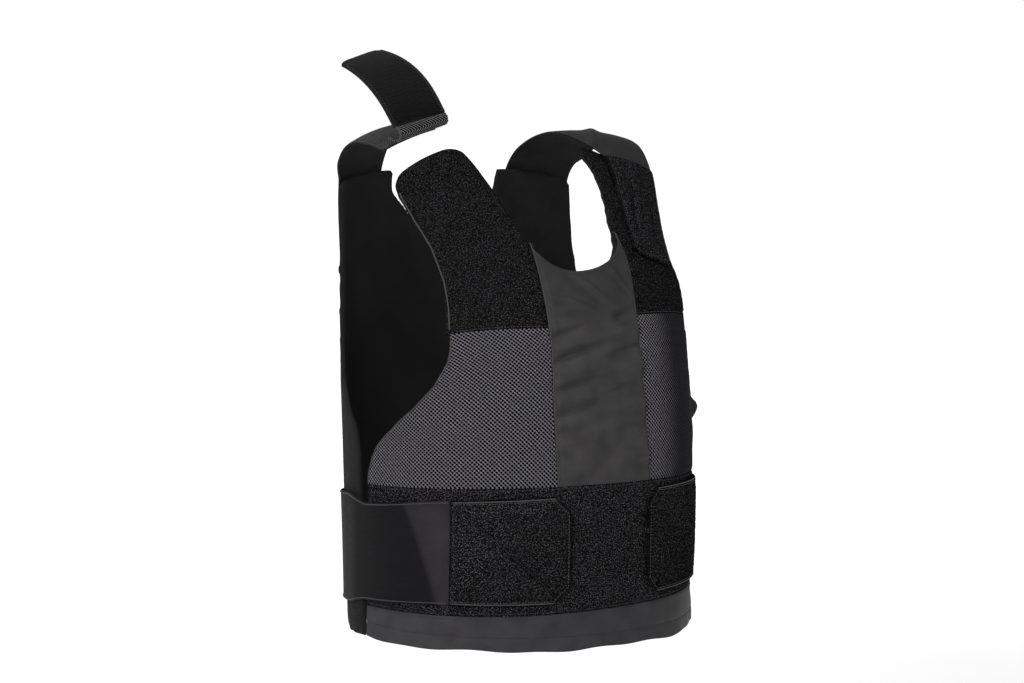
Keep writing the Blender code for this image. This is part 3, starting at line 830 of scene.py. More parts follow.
# Side panels of air mesh, between the waist band and the shoulder patches. The knitted spacer mesh
# has round holes on a diagonal lattice, 2.9 mm apart, and its cut edge is turned in at the armhole.
MESH = 0.0016
HOLE_PITCH = 0.00285
HOLE_DEPTH = 0.0011
HOLE_RIM = (0.10, 0.42)
HOLE_STRETCH = (1.08, 0.88)
HOLE_STEP = HOLE_PITCH / np.sqrt(2)
EDGE_INSET = 0.0010
WING_FLARE = 0.007
WING_SHARE = 0.35
MESH_MARGIN = 0.0052
MESH_CORD_INSET = 0.0012
# Share of painted shade on the wearer's left mesh, the side turned from the light.
MESH_PAINTED_SHADE = 0.86
MESH_TOP_T = 0.335
MESH_U = (0.044, 0.252)
# Soft folds of both air meshes, and of the left one alone: u, t, heading, length, width, height.
MESH_FOLDS = ((0.11, 0.235, 20, 0.05, 0.012, 0.0012), (0.17, 0.19, -35, 0.05, 0.010, 0.0010))
MESH_FOLDS_LEFT = tuple((0.11, 0.300 - 0.011 * k, 3, 0.06, 0.0030, 0.0008) for k in range(3))
PATCH_BOTTOM_T = {-1: 0.303, 1: 0.312}
PATCH_RISE = 0.10
PATCH_INNER_U = 0.053
LOBE_TOP_T = 0.527
LOBE_SLANT = 0.026
LOBE_DRIFT_LEFT = 0.014
ARMHOLE = np.array([
    (0.000, 0.2500), (0.150, 0.2500), (0.182, 0.2485), (0.197, 0.2400), (0.210, 0.2280),
    (0.224, 0.2110), (0.235, 0.1950), (0.258, 0.1715), (0.282, 0.1565), (0.309, 0.1465),
    (0.340, 0.1420), (0.369, 0.1405), (0.407, 0.1425), (0.443, 0.1480), (0.474, 0.1495),
    (0.501, 0.1450),
])


def table_u(table, t):
    """u from a table of (t, u), by a straight line between the rows."""
    return np.interp(t, table[:, 0], table[:, 1])


def front_lift(u, t):
    """The left wing of the front panel stands off the body beside the armhole."""
    return WING_FLARE * smooth(0.165, 0.235, u) * smooth(0.168, 0.208, t)


def outer_wing(points):
    """The mesh follows the curl of the front panel's rim by a share."""
    return wing(points, WING_SHARE)


def patch_t(side, u):
    """Height of the seam between mesh and shoulder patch, which rises towards the armhole."""
    return PATCH_BOTTOM_T[side] + PATCH_RISE * (np.abs(u) - PATCH_INNER_U)


def hole_distance(u, t):
    """Distance to the nearest hole's centre, in pitches, on the lattice turned by 45 degrees. The
    holes are slightly longer one way."""
    a = (u + t) / (np.sqrt(2) * HOLE_PITCH)
    b = (u - t) / (np.sqrt(2) * HOLE_PITCH)
    across, along = HOLE_STRETCH
    return np.hypot(across * (a - np.floor(a) - 0.5), along * (b - np.floor(b) - 0.5))


def air_mesh():
    """Spacer mesh: black round holes on the diagonal lattice between grey twisted threads, which are
    darkened by painted shade where the piece's attribute gives it."""
    made = fabric("air_mesh", (0.05, 0.05, 0.053), 0.60, 0.01)
    place, u, t = pattern_of(made)
    turned = []
    for operation, stretch in zip(("ADD", "SUBTRACT"), HOLE_STRETCH):
        x = sums(made, "DIVIDE", sums(made, operation, u, t), np.sqrt(2) * HOLE_PITCH)
        half = sums(made, "SUBTRACT", sums(made, "FRACT", x), 0.5)
        turned.append(sums(made, "MULTIPLY", half, stretch))
    squares = [sums(made, "MULTIPLY", x, x) for x in turned]
    away = sums(made, "SQRT", sums(made, "ADD", *squares))
    threads = spread(made, away, 0.31, 0.50)
    twist = sums(made, "SINE", sums(made, "MULTIPLY", sums(made, "ADD", u, t), 2 * np.pi / 0.0009))
    fibre = grain(made, place, 1600.0, 1.0)
    lit = blended(made, spread(made, fibre, 0.25, 0.8), (0.036, 0.0345, 0.039), (0.165, 0.159, 0.175))
    # The attribute's share blends the threads towards dark as painted shade.
    wear_and_shade = node(made, "ShaderNodeAttribute", attribute_name="groove_and_shade").outputs["Fac"]
    lit = blended(made, wear_and_shade, lit, (0.010, 0.0096, 0.0105))
    colour = blended(made, threads, (0.0004, 0.0004, 0.0008), lit)
    height = sums(made, "ADD", sums(made, "MULTIPLY", threads, 2.0), sums(made, "MULTIPLY", twist, 0.15))
    height = sums(made, "ADD", height, sums(made, "MULTIPLY", fibre, 0.5))
    finish_fabric(made, colour, height, 0.0004)
    return made


mesh_cloth = air_mesh()
edge_piping = thread("edge_piping", (0.030, 0.0295, 0.031))
for side, word in ((-1, "right"), (1, "left")):
    t_line = np.arange(BAND_TOP_T + SEAM_GAP, MESH_TOP_T, HOLE_STEP / 2)[:, None]
    u_line = np.arange(*MESH_U, HOLE_STEP / 2)[None, :]
    inner = seam_u(side, t_line) + SEAM_GAP
    margin = MESH_MARGIN * smooth(0.160, 0.185, t_line) * (1 - smooth(0.285, 0.325, t_line))
    margin = margin * (side < 0)
    outer = table_u(ARMHOLE, t_line) - EDGE_INSET - margin
    u = np.clip(np.broadcast_to(u_line, (len(t_line), u_line.shape[1])), inner, outer)
    t = np.minimum(np.broadcast_to(t_line, u.shape), patch_t(side, u) - SEAM_GAP / 2)
    across = np.minimum(u - inner, outer - u)
    from_edge = np.minimum(across, np.minimum(t - BAND_TOP_T, patch_t(side, u) - t))
    holes = HOLE_DEPTH * (1 - smooth(*HOLE_RIM, hole_distance(side * u, t)))
    holes = holes * smooth(0.0004, 0.0030, from_edge)
    soft = folds_of(u, t, MESH_FOLDS)
    if side > 0:
        soft = soft + folds_of(u, t, MESH_FOLDS_LEFT)
    soft = soft * smooth(0.0, 0.012, from_edge) + 0.0008 * smooth(0.0, 0.005, from_edge)
    relief = MESH + soft - holes
    if side < 0:
        relief, u, t = relief[:, ::-1], u[:, ::-1], t[:, ::-1]
    lift = front_lift(side * u, t) + GAP
    # Painted shade: the wearer's left mesh darkens away from the centre, as the side turned from the light.
    painted_shade = MESH_PAINTED_SHADE * smooth(0.060, 0.110, u) * (side > 0)
    side_mesh = sewn_cloth(f"air_mesh_{word}", side * u, t, lift, relief, painted_shade, moved=outer_wing)
    t_edge = np.linspace(BAND_TOP_T + 0.001, 0.305, 120)
    edge_u = np.interp(t_edge, t_line[:, 0], outer[:, 0]) - MESH_CORD_INSET
    edge_line = on_cloth(side_mesh, side * edge_u, t_edge)
    mesh_trims = (cord(f"mesh_edge_{word}", [edge_line], edge_piping, 0.0007),)
    dressed(
        side_mesh, mesh_cloth, [f"front_mesh_{word}"],
    )


# Loop patches that cover the shoulder lobes. Fuzzy black loop pile is sewn down along all edges;
# the right one lies bare, and the left one carries the fastened shoulder tab.
LOOP = 0.0018
PILE_STEP = 0.0015
PILE_ROUGH = 0.00040
LOBE_INNER_ROUND = 0.016
LOBE_OUTER_ROUND = 0.015
# Share of painted shade on both shoulder patches.
PATCH_PAINTED_SHADE = 0.50
PATCH_WIDTH = 0.093
PILE_SEWN = 0.0006
LOBE_INNER = np.array([
    (0.391, 0.0530), (0.416, 0.0555), (0.440, 0.0590), (0.474, 0.0615), (0.527, 0.0620),
])
pile_dice = np.random.default_rng(11)


def drift(side, t):
    """How far the left lobe is pulled outwards by its fastened strap."""
    return LOBE_DRIFT_LEFT * smooth(0.39, 0.51, t) if side > 0 else 0.0 * t


def rounded(rest, inner, outer):
    """Insets that round the end of a lobe, where rest is the length still to go."""
    near, far = np.clip(inner - rest, 0, inner), np.clip(outer - rest, 0, outer)
    return inner - np.sqrt(inner**2 - near**2), outer - np.sqrt(outer**2 - far**2)


def loop_pile():
    """Loop pile: a tuft of loops in each cell, pale by chance at its round top and black between, and
    darkened by painted shade where the piece's attribute gives it."""
    made = fabric("loop_pile", (0.01, 0.01, 0.0105), 0.80, 0.0)
    place = pattern_of(made)[0]
    tufts = node(made, "ShaderNodeTexVoronoi", voronoi_dimensions="2D", in_0=place)
    tufts.inputs["Scale"].default_value = 780.0
    chance = node(made, "ShaderNodeSeparateColor", in_0=tufts.outputs["Color"]).outputs[0]
    fine = grain(made, place, 1300.0, 2.0, 0.6)
    round_top = spread(made, tufts.outputs["Distance"], 0.25, 0.75, 1.0, 0.15)
    tangle = grain(made, place, 880.0, 2.0, 0.6)
    tops = sums(made, "MULTIPLY", spread(made, tangle, 0.46, 0.66), spread(made, chance, -0.2, 1.0))
    tops = sums(made, "MULTIPLY", tops, sums(made, "ADD", sums(made, "MULTIPLY", round_top, 0.5), 0.5))
    wear_and_shade = grain(made, place, 30.0, 2.0)
    base = blended(made, wear_and_shade, (0.0005, 0.0005, 0.0005), (0.0011, 0.0011, 0.0012))
    colour = blended(made, tops, base, (0.072, 0.0693, 0.0738))
    # The attribute's share blends the pile towards black as painted shade.
    groove_and_shade = node(made, "ShaderNodeAttribute", attribute_name="groove_and_shade").outputs["Fac"]
    colour = blended(made, spread(made, groove_and_shade, 0.0, 1.0, 0.0, 0.75), colour, (0.0015, 0.0015, 0.0015))
    finish_fabric(made, colour, sums(made, "ADD", round_top, sums(made, "MULTIPLY", fine, 0.5)), 0.0006)
    return made


def pile_heights(shape, edge_distance):
    """Uneven tops of the pile: a random height at each point, fading out at the stitched edge."""
    return PILE_ROUGH * pile_dice.uniform(-1, 1, shape) * smooth(0.0005, 0.003, edge_distance)


pile = loop_pile()
for side, word in ((-1, "right"), (1, "left")):
    top = LOBE_TOP_T - 0.0012
    count = int((top - 0.300) / PILE_STEP)
    share = np.linspace(0, 1, 64)[None, :]
    up = np.linspace(0, 1, count)[:, None]
    up = 1 - (1 - up) ** 1.15
    t_start = patch_t(side, PATCH_INNER_U + PATCH_WIDTH * share)
    line_t = (PATCH_BOTTOM_T[side] + up * (top - PATCH_BOTTOM_T[side]))[:, 0]
    slope = LOBE_SLANT * smooth(0.40, LOBE_TOP_T, line_t)
    near_top = smooth(SEAM_TOP[side] - 0.02, SEAM_TOP[side] + 0.02, line_t)
    seam = seam_u(side, np.minimum(line_t, SEAM_TOP[side]))
    inner = seam * (1 - near_top) + table_u(LOBE_INNER, line_t) * near_top
    inner = (inner + drift(side, line_t) + SEAM_GAP)[:, None]
    outer = (table_u(ARMHOLE, line_t - slope) + drift(side, line_t - slope) - EDGE_INSET)[:, None]
    near, far = rounded(top - line_t, LOBE_INNER_ROUND, LOBE_OUTER_ROUND)
    u = (inner + near[:, None]) * (1 - share) + (outer - far[:, None]) * share
    t = line_t[:, None] - slope[:, None] * (u - inner) / (outer - inner)
    t = t + (t_start - PATCH_BOTTOM_T[side]) * (1 - up) + SEAM_GAP / 2
    across = np.minimum(u - u[:, :1], u[:, -1:] - u)
    edge = np.minimum(across, np.minimum(t - t[:1], t[-1:] - t))
    if side < 0:
        u, t, edge = u[:, ::-1], t[:, ::-1], edge[:, ::-1]
    height = LOOP - PILE_SEWN + 0.0008 * smooth(0.0, 0.004, edge) + pile_heights(u.shape, edge)
    # Painted shade: both shoulder patches are darkened all over, against the extra light that their leaning
    # faces catch.
    painted_shade = np.full(u.shape, PATCH_PAINTED_SHADE)
    name = f"shoulder_loop_{word}"
    patch = sewn_cloth(name, side * u, t, GAP, height, painted_shade, moved=drawn_up)
    t_out = np.linspace(PATCH_BOTTOM_T[side] + 0.012, top - 0.020, 120)
    slope_out = LOBE_SLANT * smooth(0.40, LOBE_TOP_T, t_out)
    u_out = table_u(ARMHOLE, t_out - slope_out) + drift(side, t_out - slope_out) - 0.0024
    rim = on_cloth(patch, side * u_out, t_out - slope_out)
    u_low = np.linspace(seam_u(side, PATCH_BOTTOM_T[side]) + 0.002, 0.139, 90)
    low_row = on_cloth(patch, side * u_low, patch_t(side, u_low) + 0.0018)
    patch_trims = (
        cord(f"patch_edge_{word}", [rim], edge_piping, 0.0007),
        stitches(f"patch_stitches_{word}", [low_row], edge_piping),
    )
    dressed(
        patch, pile, [f"front_shoulder_loop_{word}"],
    )


# Waist band. One wide strip of the same loop pile runs across the whole front and is sewn down at
# its edges; the two waist tabs fasten anywhere on it.
BAND_BOTTOM_T = 0.036
BAND_TILT = 0.030
BAND_ROW_INSET = 0.0022
SIDE_U = 0.250


def band_bottom(u):
    """Height of the waist band's lower edge, which rises towards the wearer's left."""
    return BAND_BOTTOM_T + BAND_TILT * u


u = np.linspace(-SIDE_U + 0.001, SIDE_U - 0.001, 300)[None, :]
share = np.linspace(0, 1, 76)[:, None]
t = band_bottom(u) + share * (BAND_TOP_T - band_bottom(u))
u = np.broadcast_to(u, t.shape)
edge = np.minimum(np.minimum(t - t[:1], t[-1:] - t), np.minimum(u - u[:, :1], u[:, -1:] - u))
height = LOOP - PILE_SEWN + 0.0007 * smooth(0.0, 0.004, edge) + pile_heights(u.shape, edge)
waist_band = sewn_cloth("waist_band", u, t, GAP, height)
u_line = np.linspace(-SIDE_U + 0.003, SIDE_U - 0.003, 260)
band_rows = [
    on_cloth(waist_band, u_line, np.full(260, BAND_TOP_T - BAND_ROW_INSET)),
    on_cloth(waist_band, u_line, band_bottom(u_line) + BAND_ROW_INSET),
]
band_trims = (stitches("band_stitches", band_rows, black_thread),)
dressed(
    waist_band, pile, ["front_waist_loop"],
)


# Hem. A strip of twill is sewn under the band and turned over the lower edge of the front, where it
# waves a little and flares at the wearer's left end.
HEM = 0.0020
HEM_FLARE = 0.011
HEM_ROW_T = 0.0125
# Upright folds at the wearer's left end: u, t, heading, length, width and height.
HEM_FOLDS = (
    (0.176, 0.012, 80, 0.022, 0.0050, 0.0018),
    (0.196, 0.012, 95, 0.022, 0.0045, 0.0030),
    (0.222, 0.012, 86, 0.022, 0.0060, 0.0032),
)
hem_twill = twill_cloth("hem_twill", (0.0080, 0.0076, 0.0084), (0.0258, 0.0245, 0.0266), 0.0011, 1.0)
u = np.linspace(-SIDE_U + 0.001, SIDE_U - 0.001, 260)[None, :]
share = np.concatenate([np.linspace(0, 0.3, 12), np.linspace(0.34, 1, 16)])[:, None]
bottom = 0.0009 * np.sin(u * 41 + 0.6) + 0.0006 * np.sin(u * 97 + 2.0)
t = bottom + share * (band_bottom(u) - 2 * SEAM_GAP - bottom)
u = np.broadcast_to(u, t.shape)
flare = HEM_FLARE * smooth(0.150, 0.245, u) * (1 - share) ** 1.5
waves = 0.0009 * np.sin(u * 63 + 1.1) * (1 - share) ** 2 + 0.0008 * np.sin(u * 29) * (1 - share)
crease = -0.0003 * groove(t - HEM_ROW_T, 0.0022) + 0.0002 * smooth(0.013, 0.019, t) * (1 - share)
lift = GAP + flare + np.maximum(waves, 0) + folds_of(u, t, HEM_FOLDS)
hem = sewn_cloth("hem", u, t, lift, HEM + crease)
hem_rows = [
    on_cloth(hem, u_line, band_bottom(u_line) - 0.0028),
    on_cloth(hem, u_line, np.full(260, HEM_ROW_T)),
]
hem_trims = (stitches("hem_stitches", hem_rows, black_thread),)
dressed(hem, hem_twill, ["front_hem"])


# Side elastics. Wide woven elastic runs from each side of the back panel round the body and ends in
# a waist tab. It is smooth, with fine ribs across it and a pale selvedge.
STRAP_WIDTH = 0.100
STRAP_MIDDLE_T = 0.0955
STRAP_TILT = 0.020
STRAP_DROOP = 0.006
ELASTIC = 0.0015
ELASTIC_BACK_U = 0.105
STRAP_LIFT = LOOP + 2 * GAP
STRAP_REST_BACK = 0.0009
STRAP_LEAVES_U = 0.262
BACK_BOX = 0.022
TAB_TIP_U = {-1: 0.041, 1: 0.047}
TAB_LENGTH = 0.112
# The elastic's soft slanting fold behind the tab: u, t, heading, length and width.
ELASTIC_FOLD = (0.184, 0.095, 70, 0.060, 0.0060)


def strap_middle(u):
    """The waist strap's middle line tilts with the band and droops towards the side of the body."""
    tilt = STRAP_TILT * np.clip(u, -SIDE_U, SIDE_U)
    return STRAP_MIDDLE_T + tilt - STRAP_DROOP * smooth(0.150, 0.260, np.abs(u))


def woven_elastic():
    """Woven elastic: fine ribs across its length with knitted cords along it, slightly violet, and darkened
    by painted shade where the piece's attribute gives it."""
    made = fabric("woven_elastic", (0.02, 0.02, 0.023), 0.60, 0.06)
    place, u, t = pattern_of(made)
    ribs = sums(made, "SINE", sums(made, "MULTIPLY", u, 2 * np.pi / 0.0012))
    cords = sums(made, "SINE", sums(made, "MULTIPLY", t, 2 * np.pi / 0.0016))
    weave = sums(made, "ADD", ribs, sums(made, "MULTIPLY", cords, 0.6))
    fibre = grain(made, place, 1100.0, 2.0)
    shade = grain(made, place, 40.0, 3.0)
    share = sums(made, "ADD", sums(made, "MULTIPLY", fibre, 0.5), sums(made, "MULTIPLY", shade, 0.5))
    colour = blended(made, spread(made, share, 0.3, 0.7), (0.0076, 0.0070, 0.0092), (0.0146, 0.0135, 0.0172))
    # The attribute's share blends the elastic towards dark as painted shade.
    groove_and_shade = node(made, "ShaderNodeAttribute", attribute_name="groove_and_shade").outputs["Fac"]
    colour = blended(made, spread(made, groove_and_shade, 0.0, 1.0, 0.0, 0.95), colour, (0.0012, 0.0011, 0.0015))
    finish_fabric(made, colour, sums(made, "ADD", weave, fibre), 0.00012, 0.7)
    return made


elastic_cloth = woven_elastic()
selvedge_thread = thread("selvedge_thread", (0.024, 0.023, 0.026))
for side, word in ((-1, "right"), (1, "left")):
    front = TAB_TIP_U[side] + TAB_LENGTH + SEAM_GAP
    girth = np.interp(STRAP_MIDDLE_T, BODY_T, QUARTERS) + np.interp(TOTAL - STRAP_MIDDLE_T, BODY_T, QUARTERS)
    u = np.linspace(front, girth - ELASTIC_BACK_U, 150)[None, :]
    share = np.linspace(-1, 1, 44)[:, None]
    t = strap_middle(side * u) + share * STRAP_WIDTH / 2
    u = np.broadcast_to(u, t.shape)
    rest = smooth(STRAP_LEAVES_U, STRAP_LEAVES_U + 0.028, u)
    lift = STRAP_LIFT + (STRAP_REST_BACK - STRAP_LIFT) * rest
    selvedge = 0.0003 * smooth(0.955, 0.985, np.abs(share))
    # Painted shade: the elastic darkens along its fold, and beyond a slanting line behind the fold it is
    # painted dark as a cast shadow.
    bent = ridge(u, t, *ELASTIC_FOLD) * smooth(0.0, 0.02, u - front)
    lift = lift + 0.0012 * bent
    behind = u - ELASTIC_FOLD[0] - 0.36 * (t - ELASTIC_FOLD[1])
    wear_and_shade = 0.45 * bent + smooth(-0.005, 0.008, behind)
    if side < 0:
        u, t, lift, wear_and_shade = u[:, ::-1], t[:, ::-1], lift[:, ::-1], wear_and_shade[:, ::-1]
    wear_and_shade = np.clip(wear_and_shade, 0, 1)
    elastic = sewn_cloth(f"elastic_{word}", side * u, t, lift, ELASTIC + selvedge, wear_and_shade, ring)
    u_run = np.linspace(front + 0.001, u.max() - 0.001, 160)
    selvedges = []
    for edge_share in (-1, 1):
        t_run = strap_middle(side * u_run) + edge_share * (STRAP_WIDTH / 2 - 0.0012)
        selvedges.append(on_cloth(elastic, side * u_run, t_run, ring))
    u_end, half = u.max() - 0.004, STRAP_WIDTH / 2 - 0.005
    level = strap_middle(side * u_end)
    corners = [(u_end, level - half), (u_end, level + half), (u_end - BACK_BOX, level + half)]
    corners += [(u_end - BACK_BOX, level - half), (u_end, level - half)]
    box_u, box_t = pathway(*corners)
    back_box = [on_cloth(elastic, side * box_u, box_t, ring)]
    elastic_trims = (
        cord(f"selvedges_{word}", selvedges, selvedge_thread, 0.0005),
        stitches(f"elastic_box_{word}", back_box, black_thread),
    )
    dressed(
        elastic, elastic_cloth, [f"elastic_strap_{word}"],
    )


# Waist tabs. Loop pile outside and hook inside, with clipped tip corners; each is sewn round its
# edge and across in an X, and the seams sink into the pile.
TAB = 0.0026
TAB_CLIP = 0.016
TAB_CURL = 0.0018
BOX_INSET = 0.0045
BOX_GROOVE = 0.0013
CROSS_GROOVE = 0.0017
GROOVE_DEPTH = 0.0010
# Where the crossing lines begin behind the tip and end before the rear, and their half widths.
CROSS_ENDS = (0.018, 0.008)
CROSS_SHARES = (0.78, 0.86)


def tab_lines(tip):
    """The crossing lines of a waist tab, each as its two ends in u and share of the half width."""
    near, far = tip + CROSS_ENDS[0], tip + TAB_LENGTH - CROSS_ENDS[1]
    low, high = CROSS_SHARES
    return [((near, -low), (far, high)), ((near, low), (far, -high))]


tab_pile = loop_pile()
for side, word in ((-1, "right"), (1, "left")):
    tip = TAB_TIP_U[side]
    rear = tip + TAB_LENGTH
    along = np.concatenate([[0, 0.0006], np.linspace(0.0014, TAB_LENGTH, 88)])[None, :]
    share = np.linspace(-1, 1, 78)[:, None]
    reach = STRAP_WIDTH / 2 - TAB_CLIP * (1 - np.clip(along / TAB_CLIP, 0, 1)) ** 1.25
    u = tip + along
    t = strap_middle(side * u) + share * reach
    u = np.broadcast_to(u, t.shape)
    offset = t - strap_middle(side * u)
    edge = np.minimum(np.minimum(u - tip, rear - u), reach - np.abs(offset))
    groove_and_shade = 0.8 * groove(edge - BOX_INSET, BOX_GROOVE)
    cross = 0.0 * u
    for (u0, s0), (u1, s1) in tab_lines(tip):
        a, b = s0 * STRAP_WIDTH / 2, s1 * STRAP_WIDTH / 2
        length = np.hypot(u1 - u0, b - a)
        distance = np.abs((u - u0) * (b - a) - (offset - a) * (u1 - u0)) / length
        cross = np.maximum(cross, groove(distance, CROSS_GROOVE) * (edge > BOX_INSET))
    rise = (offset / STRAP_WIDTH + 0.5) - (rear - u) / TAB_LENGTH
    facet = smooth(-0.10, 0.10, -rise)
    valley = groove(rise * 0.072, 0.014)
    curl = TAB_CURL * groove(u - tip, 0.006)
    height = TAB + 0.0006 * smooth(0, 0.006, edge) - GROOVE_DEPTH * np.maximum(groove_and_shade, cross)
    height = height + pile_heights(u.shape, edge)
    height = height + 0.0008 * (1 - valley) * smooth(0, 0.012, edge)
    # Painted shade: the tab darkens in its stitched grooves, on the lower half of its diagonal fold and in a
    # shadow line round its edges.
    dark = np.clip(0.65 * cross + 0.3 * groove_and_shade + 0.36 * facet + 0.9 * groove(edge, 0.0014), 0, 1)
    if side < 0:
        u, t, height, curl, dark = (x[:, ::-1] for x in (u, t, height, curl, dark))
    name = f"waist_tab_{word}_cloth"
    tab = sewn_cloth(name, side * u, t, STRAP_LIFT + curl, height, dark)
    half, inset = STRAP_WIDTH / 2, 0.0030
    edges = []
    for sign in (-1, 1):
        u_run = np.linspace(tip + TAB_CLIP * 0.9, rear - 0.001, 90)
        edges.append(on_cloth(tab, side * u_run, strap_middle(side * u_run) + sign * (half - 0.0011)))
    corners = [(rear - 0.002, inset - half), (tip + TAB_CLIP, inset - half)]
    corners += [(tip + inset, TAB_CLIP - half)]
    corners += [(u0, -t0) for u0, t0 in corners[::-1]]
    box_u, box_t = pathway(*corners)
    border = on_cloth(tab, side * box_u, strap_middle(side * box_u) + box_t)
    join_u, join_t = pathway((rear - 0.0035, -half + 0.002), (rear - 0.0035, half - 0.002))
    join = on_cloth(tab, side * join_u, strap_middle(side * join_u) + join_t)
    crosses = []
    for (u0, s0), (u1, s1) in tab_lines(tip):
        cross_u, cross_t = pathway((u0, s0 * half), (u1, s1 * half))
        crosses.append(on_cloth(tab, side * cross_u, strap_middle(side * cross_u) + cross_t))
    tab_trims = (
        cord(f"tab_selvedges_{word}", edges, pale_thread, 0.00045),
        stitches(f"tab_border_{word}", [border], pale_thread),
        stitches(f"tab_cross_{word}", [*crosses, join], black_thread),
    )
    dressed(
        tab, tab_pile, [f"waist_tab_{word}"],
    )


# Shoulder straps. Flat twill straps sewn to the back panel come over both shoulders. The left one
# is pulled down by its tab, and the right one ends free above its lobe.
SHOULDER_WEB = 0.0018
# Cross lines from the back forwards: t, u_inner, u_outer, lift_inner, lift_outer.
STRAP_RIGHT = np.array([
    (0.700, 0.074, 0.140, 0.0010, 0.0010),
    (0.668, 0.073, 0.139, 0.0012, 0.0012),
    (0.640, 0.072, 0.139, 0.0040, 0.0040),
    (0.610, 0.071, 0.138, 0.0080, 0.0060),
    (0.580, 0.069, 0.135, 0.0075, 0.0042),
    (0.5485, 0.066, 0.130, 0.0060, 0.0026),
])
STRAP_END_SLANT = 0.0120
STRAP_BACK_BEND = 0.0025
STRAP_BELLY = 0.0012
SHOULDER_WIDTH = 0.066
STRAP_LEFT = np.array([
    (0.700, 0.074, 0.140, 0.0010, 0.0010),
    (0.668, 0.076, 0.141, 0.0012, 0.0012),
    (0.645, 0.078, 0.143, -0.0002, -0.0004),
    (0.622, 0.080, 0.146, -0.0034, -0.0042),
    (0.600, 0.083, 0.150, -0.0030, 0.0030),
    (0.575, 0.088, 0.154, 0.0014, 0.0185),
    (0.545, 0.096, 0.160, 0.0036, 0.0235),
    (0.511, 0.104, 0.165, 0.0040, 0.0125),
])
# The left strap's lengthwise fold: u, t, heading, length, width and height.
STRAP_FOLDS_LEFT = ((0.118, 0.560, 62, 0.060, 0.0060, 0.0030),)


def strip_of(table, lines, columns):
    """u, t and lift of a strip read along its table, from its last row back to its first."""
    rows = through(table, np.linspace(0, len(table) - 1, lines))
    share = np.linspace(0, 1, columns)[None, :]
    u = rows[:, 1:2] * (1 - share) + rows[:, 2:3] * share
    lift = rows[:, 3:4] * (1 - share) + rows[:, 4:5] * share
    t = np.broadcast_to(rows[:, 0:1], u.shape)
    return u[::-1], t[::-1], lift[::-1], share


strap_twill = twill_cloth("strap_twill", (0.0035, 0.0035, 0.0037), (0.0100, 0.0097, 0.0103), 0.0012, -1.0)
for side, word, table in ((-1, "right", STRAP_RIGHT), (1, "left", STRAP_LEFT)):
    u, t, lift, share = strip_of(table, 110, 44)
    if side < 0:
        t = t + STRAP_END_SLANT * (1 - share) * (1 - smooth(0.5485, 0.575, t))
    lift = lift - STRAP_BACK_BEND * smooth(0.80, 1.0, share) * smooth(0.640, 0.665, t)
    edge = np.minimum(share, 1 - share) * SHOULDER_WIDTH
    hem_line = -0.0004 * groove(edge - 0.004, 0.0009)
    belly = STRAP_BELLY * np.sin(np.pi * share) * smooth(0.545, 0.60, t) * smooth(0.70, 0.66, t)
    drawn = folds_of(u, t, STRAP_FOLDS_LEFT) * smooth(0.515, 0.540, t) * (side > 0)
    height = SHOULDER_WEB + hem_line + belly + drawn
    if side < 0:
        u, t, lift, height = u[:, ::-1], t[:, ::-1], lift[:, ::-1], height[:, ::-1]
    strap = sewn_cloth(f"strap_{word}", side * u, t, lift, height)
    rows_end = len(table) - (1.36 if side < 0 else 1.03)
    rows_of_strap = through(table, np.linspace(0.06, rows_end, 90))
    strap_rows = []
    for inset in (0.06, 0.94):
        line_u = rows_of_strap[:, 1] * (1 - inset) + rows_of_strap[:, 2] * inset
        strap_rows.append(on_cloth(strap, side * line_u, rows_of_strap[:, 0]))
    for line_t in (0.6955, 0.6740):
        line_u = np.linspace(0.0775, 0.1365, 40)
        strap_rows.append(on_cloth(strap, side * line_u, np.full(40, line_t)))
    strap_trims = (stitches(f"strap_stitches_{word}", strap_rows, black_thread),)
    dressed(
        strap, strap_twill, [f"shoulder_strap_{word}"],
    )


# Left shoulder tab. Loop pile outside and hook inside, fastened on the left patch, with a slanting
# end and a lengthwise fold where it is drawn tight.
SHOULDER_TAB_CLIP = 0.005
SHOULDER_TAB_SLANT = 0.007
SHOULDER_TAB_LEFT = np.array([
    (0.5095, 0.1040, 0.1650, 0.0040, 0.0123),
    (0.485, 0.0960, 0.1580, 0.0034, 0.0085),
    (0.455, 0.0855, 0.1490, 0.0032, 0.0050),
    (0.420, 0.0770, 0.1390, 0.0030, 0.0032),
    (0.3735, 0.0720, 0.1280, 0.0030, 0.0030),
])
# The drawn folds, and the creases painted with shade: u, t, heading, length, width, height or darkness.
SHOULDER_TAB_FOLDS = (
    (0.112, 0.455, 66, 0.060, 0.0050, 0.0026),
    (0.100, 0.440, 68, 0.050, 0.0040, -0.0010),
)
SHOULDER_TAB_CREASES = (
    (0.098, 0.440, 68, 0.050, 0.0030, 0.7),
    (0.121, 0.425, 70, 0.045, 0.0025, 0.5),
)
u, t, lift, share = strip_of(SHOULDER_TAB_LEFT, 92, 46)
corner = (1 - smooth(0.0, 0.22, share)) + 0.4 * smooth(0.86, 1.0, share)
t = t + SHOULDER_TAB_CLIP * corner * groove(t - t.min(), 0.006)
t = t + SHOULDER_TAB_SLANT * (0.5 - share) * (1 - smooth(0.382, 0.420, t))
edge = np.minimum(np.minimum(share, 1 - share) * 0.061, np.minimum(t - t[:1], t[-1:] - t))
fold = np.maximum(folds_of(u, t, SHOULDER_TAB_FOLDS), -0.0006)
border = groove(edge - 0.004, 0.0012)
height = TAB + 0.0003 * smooth(0, 0.006, edge) - 0.0008 * border
height = height + pile_heights(u.shape, edge) + fold * smooth(0, 0.008, edge)
